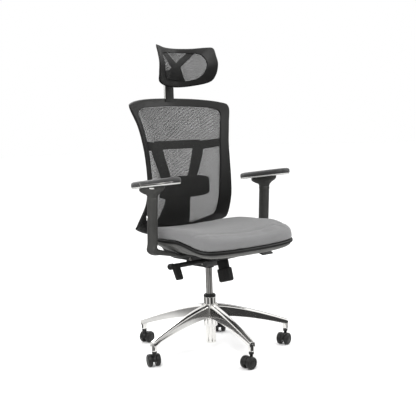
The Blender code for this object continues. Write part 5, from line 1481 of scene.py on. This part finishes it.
def build_spine(outer, inner):
    """A lower blade, two legs, the bar between them and an arm out to the frame on each side, all
    with rounded sections."""
    depth = SPINE_DEPTH

    def strip(z, low, high, lift=0.0):
        y = spine_front(z) + lift
        return [(low, y, z), (high, y, z), (high, y + depth, z), (low, y + depth, z)]

    blade = [strip(back_z(s), -half, half) for s, half in SPINE_LOWER]
    blade = smooth(np.array(blade), 6)
    parts = [skin(rounded(blade, 0.0045), ends=0.003)]
    bar = [[(x, spine_front(z) + lift - 0.0012, z) for z, lift in
            ((back_z(0.693), 0), (back_z(0.632), 0), (back_z(0.632), depth),
             (back_z(0.693), depth))]
           for x in np.linspace(-0.124, 0.124, 9)]
    parts.append(skin(rounded(bar, 0.0045), ends=0.003))
    legs = smooth(np.array([strip(back_z(s), low, high, 0.0008) for s, low, high in SPINE_LEGS]), 6)
    leg = skin(rounded(legs, 0.0045), ends=0.003)
    parts += [leg, mirrored(leg)]
    for side in (-1, 1):
        foot = [band_foot(outer, inner, 14, row, share, (0.017, 0.007)) * (side, 1, 1)
                for row, share in ((4.76, 0.05), (4.76, 0.60), (5.22, 0.60), (5.22, 0.05))]
        back = np.array([side * -0.004, 0.009, 0.0])
        upper, lower = back_z(0.682), back_z(0.618)
        root_a = np.array([side * 0.114, spine_front(upper) + 0.0005, upper])
        root_b = np.array([side * 0.126, spine_front(lower) + 0.0005, lower])
        deep = np.array([0, depth - 0.0046, 0])
        near = [root_a, root_a + deep, root_b + deep, root_b]
        tip = [foot[0], foot[1] + back, foot[2] + back, foot[3]]
        far = [foot[1], foot[1] + back, foot[2] + back, foot[2]]
        middle = 0.5 * (np.array(near) + np.array(tip))
        arm = smooth(np.array([near, middle, tip, far]), 5)
        parts.append(skin(rounded(arm, 0.003), ends=0.002))
    fit("open_spine", joined(*parts), "black_plastic", WIDE_CREASE, "back", "black_plastic",
        "back_spine")


def build_lumbar(sheet):
    """The lumbar pad: a curved bar that follows the mesh, with a block that slides on the spine."""
    middle = 0.5 * (LUMBAR_LOW[2] + LUMBAR_HIGH[2])
    half, rise_full = LUMBAR_HIGH[0], 0.5 * (LUMBAR_HIGH[2] - LUMBAR_LOW[2])
    row = sheet[np.abs(sheet[:, sheet.shape[1] // 2, 2] - middle).argmin()]
    column = np.linspace(-1, 1, 49)
    x = half * column
    front = np.interp(x, row[:, 0], row[:, 1]) + 0.0085
    rise = rise_full * (1 - 0.10 * column**2 - 0.14 * column**8)
    keys = ((-1, 0.006), (-0.7, 0.001), (0, 0), (0.7, 0.001), (1, 0.006), (1, 0.013), (0, 0.013),
            (-1, 0.013))
    rings = np.stack([np.column_stack([x, front + lift, middle + rise * share])
                      for share, lift in keys], axis=1)
    parts = [skin(rounded(rings, 0.003), ends=0.003)]
    start = float(np.interp(0.0, x, front)) + 0.010
    block_rings = []
    for z in (middle - 0.020, middle + 0.020):
        face = spine_front(z) - 0.0004
        block_rings.append([(-0.030, start, z), (0.030, start, z), (0.030, face, z),
                            (-0.030, face, z)])
    parts.append(skin(rounded(block_rings, 0.002), ends=0.0015))
    fit("lumbar_bar", joined(*parts), "black_plastic", WIDE_CREASE, "lumbar", "black_plastic",
        "lumbar_pad")


# Headrest


def build_headrest():
    _, shape, _ = settings()
    samples = 14
    height = (HEAD_HIGH[2] - HEAD_BOTTOM) / 0.995
    front = HEAD_PIVOT[1] - HEAD_SETBACK
    outer = outline(HEAD_OUTER, HEAD_HALF, front, HEAD_BOTTOM, height, samples)
    inner = outline(HEAD_INNER, HEAD_HALF, front, HEAD_BOTTOM, height, samples)
    ring = band(outer, inner, *HEAD_BAND, shape.edge_radius)
    inward = unit(inner - outer)
    bead = pipe(inner - inward * 0.0018 + (0, 0.0002, 0), 0.0014, 10, True)
    fit("headrest_ring", joined(ring, bead), "black_plastic", WIDE_CREASE, "headrest",
        "black_plastic", "headrest_frame")
    lip = inner + inward * 2 * GAP + np.array([0.0, 0.0020, 0.0])
    sheet = coons(lip, 2, 7, samples, 0.0)
    v = np.linspace(0, 1, sheet.shape[0])[:, None]
    u = np.linspace(0, 1, sheet.shape[1])[None]
    sheet[..., 1] -= 0.010 * np.sin(pi * v) * np.sin(pi * u)
    mesh = cloth_sheet("headrest_mesh_cloth", sheet, FINISHES["mesh_fabric"])
    settle(mesh, "headrest", "mesh_fabric", "headrest_mesh")
    flat, area = sheet_size(sheet)
    build_yoke(outer, inner, samples)
    build_post()


def build_yoke(outer, inner, samples):
    """The carrier behind the headrest: a flared plate, two arms up to the band and two ears."""
    pivot = HEAD_PIVOT
    behind, thick = pivot[1] - HEAD_SETBACK, 0.010

    def foot(row, share, side=1):
        return band_foot(outer, inner, samples, row, share, HEAD_BAND) * (side, 1, 1)

    low = foot(9, 0.35)
    rows = [(low[2], 0.058, low[1]), (pivot[2] - 0.040, 0.056, behind + 0.006),
            (pivot[2] - 0.024, 0.043, behind + 0.003), (pivot[2], 0.031, behind),
            (pivot[2] + 0.033, 0.021, behind)]
    rings = smooth(np.array([[(-h, y, z), (h, y, z), (h, y + thick, z), (-h, y + thick, z)]
                             for z, h, y in rows]), 6)
    parts = [skin(rounded(rings, 0.003), ends=0.002)]
    for side in (-1, 1):
        near = [(side * -0.004, behind + 0.0007, pivot[2] + 0.0352),
                (side * 0.0205, behind + 0.0007, pivot[2] + 0.018)]
        far = [foot(1.0, 0.55, side), foot(1.6, 0.45, side)]
        deep = np.array([0, thick - 0.0014, 0])
        rings = [[np.array(a), np.array(b), np.array(b) + deep, np.array(a) + deep]
                 for a, b in (near, far)]
        middle = 0.5 * (np.array(rings[0]) + np.array(rings[1]))
        parts.append(skin(rounded([rings[0], middle, rings[1]], 0.003), ends=0.002))
        inside = POST_HIGH[0] + 0.0008
        ear = [(behind + 0.004, pivot[2] + 0.012), (pivot[1], pivot[2] + 0.010),
               (pivot[1] + 0.007, pivot[2] + 0.006), (pivot[1] + 0.009, pivot[2]),
               (pivot[1] + 0.007, pivot[2] - 0.006), (pivot[1], pivot[2] - 0.010),
               (behind + 0.004, pivot[2] - 0.020)]
        parts.append(plate(ear, *sorted((side * inside, side * (inside + 0.007))), 0.0018))
        parts.append(turned([(0.0, -0.009), (0.004, -0.009), (0.004, 0.0074), (0.0, 0.0078)],
                            (side * inside, pivot[1], pivot[2]), (side, 0, 0), 32, 0.0005))
    fit("headrest_carrier", joined(*parts), "black_plastic", WIDE_CREASE, "headrest",
        "black_plastic", "headrest_yoke")


def build_post():
    """The flat post with its round top knuckle, and a bright strip let into each side."""
    half, thick = POST_HIGH[0], 0.007
    pivot = HEAD_PIVOT
    low = POST_LOW[2]
    post = block((-half, POST_Y - thick, low), (half, POST_Y + thick, pivot[2]), 0.003)
    knuckle = turned([(0.0044, -half), (0.0100, -half), (0.0100, half), (0.0044, half)],
                     pivot, (1, 0, 0), 48, 0.0012)
    fit("flat_post", joined(post, knuckle), "black_plastic", WIDE_CREASE, "headrest_post",
        "black_plastic", "headrest_post")
    strips = [block((side * half - 0.0002 if side < 0 else half - 0.001, POST_Y - 0.0036,
                     low + 0.004),
                    (side * half + 0.001 if side < 0 else half + 0.0002, POST_Y + 0.0036,
                     pivot[2] - 0.012), 0.0001) for side in (-1, 1)]
    fit("post_strips", joined(*strips), "silver_trim", WIDE_CREASE, "headrest_post", "silver_trim")


# Stage


def build_stage():
    scene = bpy.context.scene
    _, _, stage = settings()
    floor = build("floor_plane", skin(np.array([
        [(x * FLOOR_REACH, y * FLOOR_REACH, z) for x, y in ((-1, -1), (1, -1), (1, 1), (-1, 1))]
        for z in (-0.02, 0.0)])), pale_floor(), FLAT_CREASE)
    scene.world = studio_world()
    scene.view_settings.view_transform = "Standard"
    build_flags()
    for light in LIGHTS:
        add_light(*light)
    camera = bpy.data.objects.new("camera", bpy.data.cameras.new("camera"))
    scene.collection.objects.link(camera)
    camera.data.lens, camera.data.sensor_width = stage.lens, 36.0
    yaw, dip, roll = stage.bearing, stage.dip, stage.roll
    ahead = Vector((sin(yaw) * cos(dip), cos(yaw) * cos(dip), -sin(dip)))
    right = Vector((cos(yaw), -sin(yaw), 0.0))
    up = right.cross(ahead)
    c, s = cos(roll), sin(roll)
    leant, risen = c * right + s * up, c * up - s * right
    turn = Matrix((leant, risen, -ahead)).transposed().to_4x4()
    camera.matrix_world = Matrix.Translation(Vector(stage.place)) @ turn
    scene.camera = camera


def studio_world():
    """An even white surround to look at. What lights the chair is dimmer at the horizon and
    brighter overhead."""
    world = bpy.data.worlds.new("soft_studio")
    world.use_nodes = True
    tree = world.node_tree
    tree.nodes.clear()

    def node(kind, **choices):
        made = tree.nodes.new(kind)
        for key, value in choices.items():
            setattr(made, key, value)
        return made

    where, split = node("ShaderNodeTexCoord"), node("ShaderNodeSeparateXYZ")
    tree.links.new(where.outputs["Generated"], split.inputs[0])
    dome = node("ShaderNodeMapRange")
    for name, value in (("From Min", 0.05), ("From Max", 0.6), ("To Min", 0.40), ("To Max", 1.35)):
        dome.inputs[name].default_value = value
    tree.links.new(split.outputs[2], dome.inputs["Value"])
    lit, seen = node("ShaderNodeBackground"), node("ShaderNodeBackground")
    lit.inputs["Color"].default_value = seen.inputs["Color"].default_value = (1, 1, 1, 1)
    tree.links.new(dome.outputs["Result"], lit.inputs["Strength"])
    path, blend, end = (node("ShaderNodeLightPath"), node("ShaderNodeMixShader"),
                        node("ShaderNodeOutputWorld"))
    tree.links.new(path.outputs["Is Camera Ray"], blend.inputs[0])
    tree.links.new(lit.outputs[0], blend.inputs[1])
    tree.links.new(seen.outputs[0], blend.inputs[2])
    tree.links.new(blend.outputs[0], end.inputs["Surface"])
    return world


def build_flags():
    """Dark flags round the set, so that bright metal has something to reflect: an apron over the
    outer floor and a low wall. Only reflections see them."""
    start, foot, wall, outside, crown = 0.42, 4.4, 4.5, 4.6, 1.10
    turn = np.linspace(0, 2 * pi, 96, endpoint=False)
    rows = ((start, 0.004), (foot, 0.004), (wall, 0.10), (wall, crown), (outside, crown),
            (outside, 0.002), (start, 0.002))
    rings = np.array([np.column_stack([r * np.cos(turn), r * np.sin(turn), np.full(96, z)])
                      for r, z in rows])
    m = Maker("studio_flags", (0.0, 0.0, 0.0), 1.0, Specular_IOR_Level=0.0,
              Emission_Strength=1.0)
    x, y, _ = m.axes(m.place())
    around = m.node("ShaderNodeMath", {"operation": "ARCTAN2"}, (y, x))
    strip = (around * 5.0 + 0.6).sine().ramp(0.35, 0.9) * 0.75 + (
        around * 2.0 + 2.1).sine().ramp(-0.6, 1.0) * 0.18 + 0.05
    m.set("Emission Color", m.mix(strip, (0.0, 0.0, 0.0, 1.0), (1.0, 1.0, 1.0, 1.0)))
    flags = build("dark_flags", skin(rings, loop=True), m.material, FLAT_CREASE)
    flags.visible_camera = flags.visible_diffuse = flags.visible_shadow = False
    flags.visible_transmission = flags.visible_volume_scatter = False


def add_light(name, place, size, power):
    """A soft panel that faces the middle of the chair."""
    lamp = bpy.data.lights.new(name, "AREA")
    lamp.size, lamp.energy = size, power
    light = bpy.data.objects.new(name, lamp)
    bpy.context.scene.collection.objects.link(light)
    light.location = place
    aim = Vector((0.0, 0.0, 0.6)) - Vector(place)
    light.rotation_euler = aim.to_track_quat("-Z", "Y").to_euler()


def dress(piece, finish):
    piece.data.materials.clear()
    piece.data.materials.append(FINISHES[finish])


def dress_hidden_pieces():
    """The frame nodes that stay as they are get their finishes."""
    kept = {"gas_piston_rod": "steel", "tilt_axle": "steel", "tension_bolt": "steel",
            "tension_spring": "steel"}
    for number in CASTORS:
        kept[f"castor_{number}_axle"] = "black_steel"
    for node, finish in kept.items():
        dress(frame["nodes"][node], finish)


def build_whole_back():
    outer, inner, sheet = build_back()
    build_spine(outer, inner)
    build_lumbar(sheet)


# The add-on


class Step:
    """What every operator does: runs its building steps in turn."""

    def execute(self, context):
        for step in self.steps:
            step()
        return {"FINISHED"}


class CHAIR_OT_finishes(Step, bpy.types.Operator):
    """Makes the chair's materials"""

    bl_idname = "chair.finishes"
    bl_label = "Materials"
    steps = (make_finishes, dress_hidden_pieces)


class CHAIR_OT_stage(Step, bpy.types.Operator):
    """Adds the floor, the lights and the camera"""

    bl_idname = "chair.stage"
    bl_label = "Stage"
    steps = (build_stage,)


class CHAIR_OT_base(Step, bpy.types.Operator):
    """Builds the star base and its castors"""

    bl_idname = "chair.base"
    bl_label = "Base and castors"
    steps = (build_star, build_castors)


class CHAIR_OT_column(Step, bpy.types.Operator):
    """Builds the gas lift"""

    bl_idname = "chair.column"
    bl_label = "Gas lift"
    steps = (build_column,)


class CHAIR_OT_mechanism(Step, bpy.types.Operator):
    """Builds the mechanism, its knob, its levers and the brackets"""

    bl_idname = "chair.mechanism"
    bl_label = "Mechanism"
    steps = (build_housing, build_knob, build_levers, build_carrier)


class CHAIR_OT_seat(Step, bpy.types.Operator):
    """Builds the seat's shell, rim and cushion"""

    bl_idname = "chair.seat"
    bl_label = "Seat"
    steps = (build_shell, build_cushion)


class CHAIR_OT_arms(Step, bpy.types.Operator):
    """Builds both arms"""

    bl_idname = "chair.arms"
    bl_label = "Arms"
    steps = (build_arms,)


class CHAIR_OT_back(Step, bpy.types.Operator):
    """Builds the back's ring, mesh, spine and lumbar bar"""

    bl_idname = "chair.back"
    bl_label = "Back"
    steps = (build_whole_back,)


class CHAIR_OT_headrest(Step, bpy.types.Operator):
    """Builds the headrest, its carrier and its post"""

    bl_idname = "chair.headrest"
    bl_label = "Headrest"
    steps = (build_headrest,)


OPERATORS = (CHAIR_OT_finishes, CHAIR_OT_stage, CHAIR_OT_base, CHAIR_OT_column,
             CHAIR_OT_mechanism, CHAIR_OT_seat, CHAIR_OT_arms, CHAIR_OT_back, CHAIR_OT_headrest)


class CHAIR_PT_panel(bpy.types.Panel):
    """Lists the chair's sizes, colours and building steps"""

    bl_idname = "CHAIR_PT_panel"
    bl_label = "Mesh office chair"
    bl_space_type = "VIEW_3D"
    bl_region_type = "UI"
    bl_category = "Chair"

    def draw(self, context):
        for group in settings():
            box = self.layout.box()
            for name in group.bl_rna.properties.keys():
                if name not in ("rna_type", "name"):
                    box.prop(group, name)
        for operator in OPERATORS:
            self.layout.operator(operator.bl_idname)


GROUPS = {"chair_finish": ChairFinish, "chair_shape": ChairShape, "chair_stage": ChairStage}


def register():
    for name, group in GROUPS.items():
        bpy.utils.register_class(group)
        setattr(bpy.types.Scene, name, bpy.props.PointerProperty(type=group))
    for item in (*OPERATORS, CHAIR_PT_panel):
        bpy.utils.register_class(item)


def unregister():
    for item in reversed((*OPERATORS, CHAIR_PT_panel)):
        bpy.utils.unregister_class(item)
    for name, group in GROUPS.items():
        delattr(bpy.types.Scene, name)
        bpy.utils.unregister_class(group)


def main():
    register()
    bpy.ops.chair.finishes()
    bpy.ops.chair.stage()
    bpy.ops.chair.base()
    bpy.ops.chair.column()
    bpy.ops.chair.mechanism()
    bpy.ops.chair.seat()
    bpy.ops.chair.arms()
    bpy.ops.chair.back()
    bpy.ops.chair.headrest()


if __name__ == "__main__":
    main()
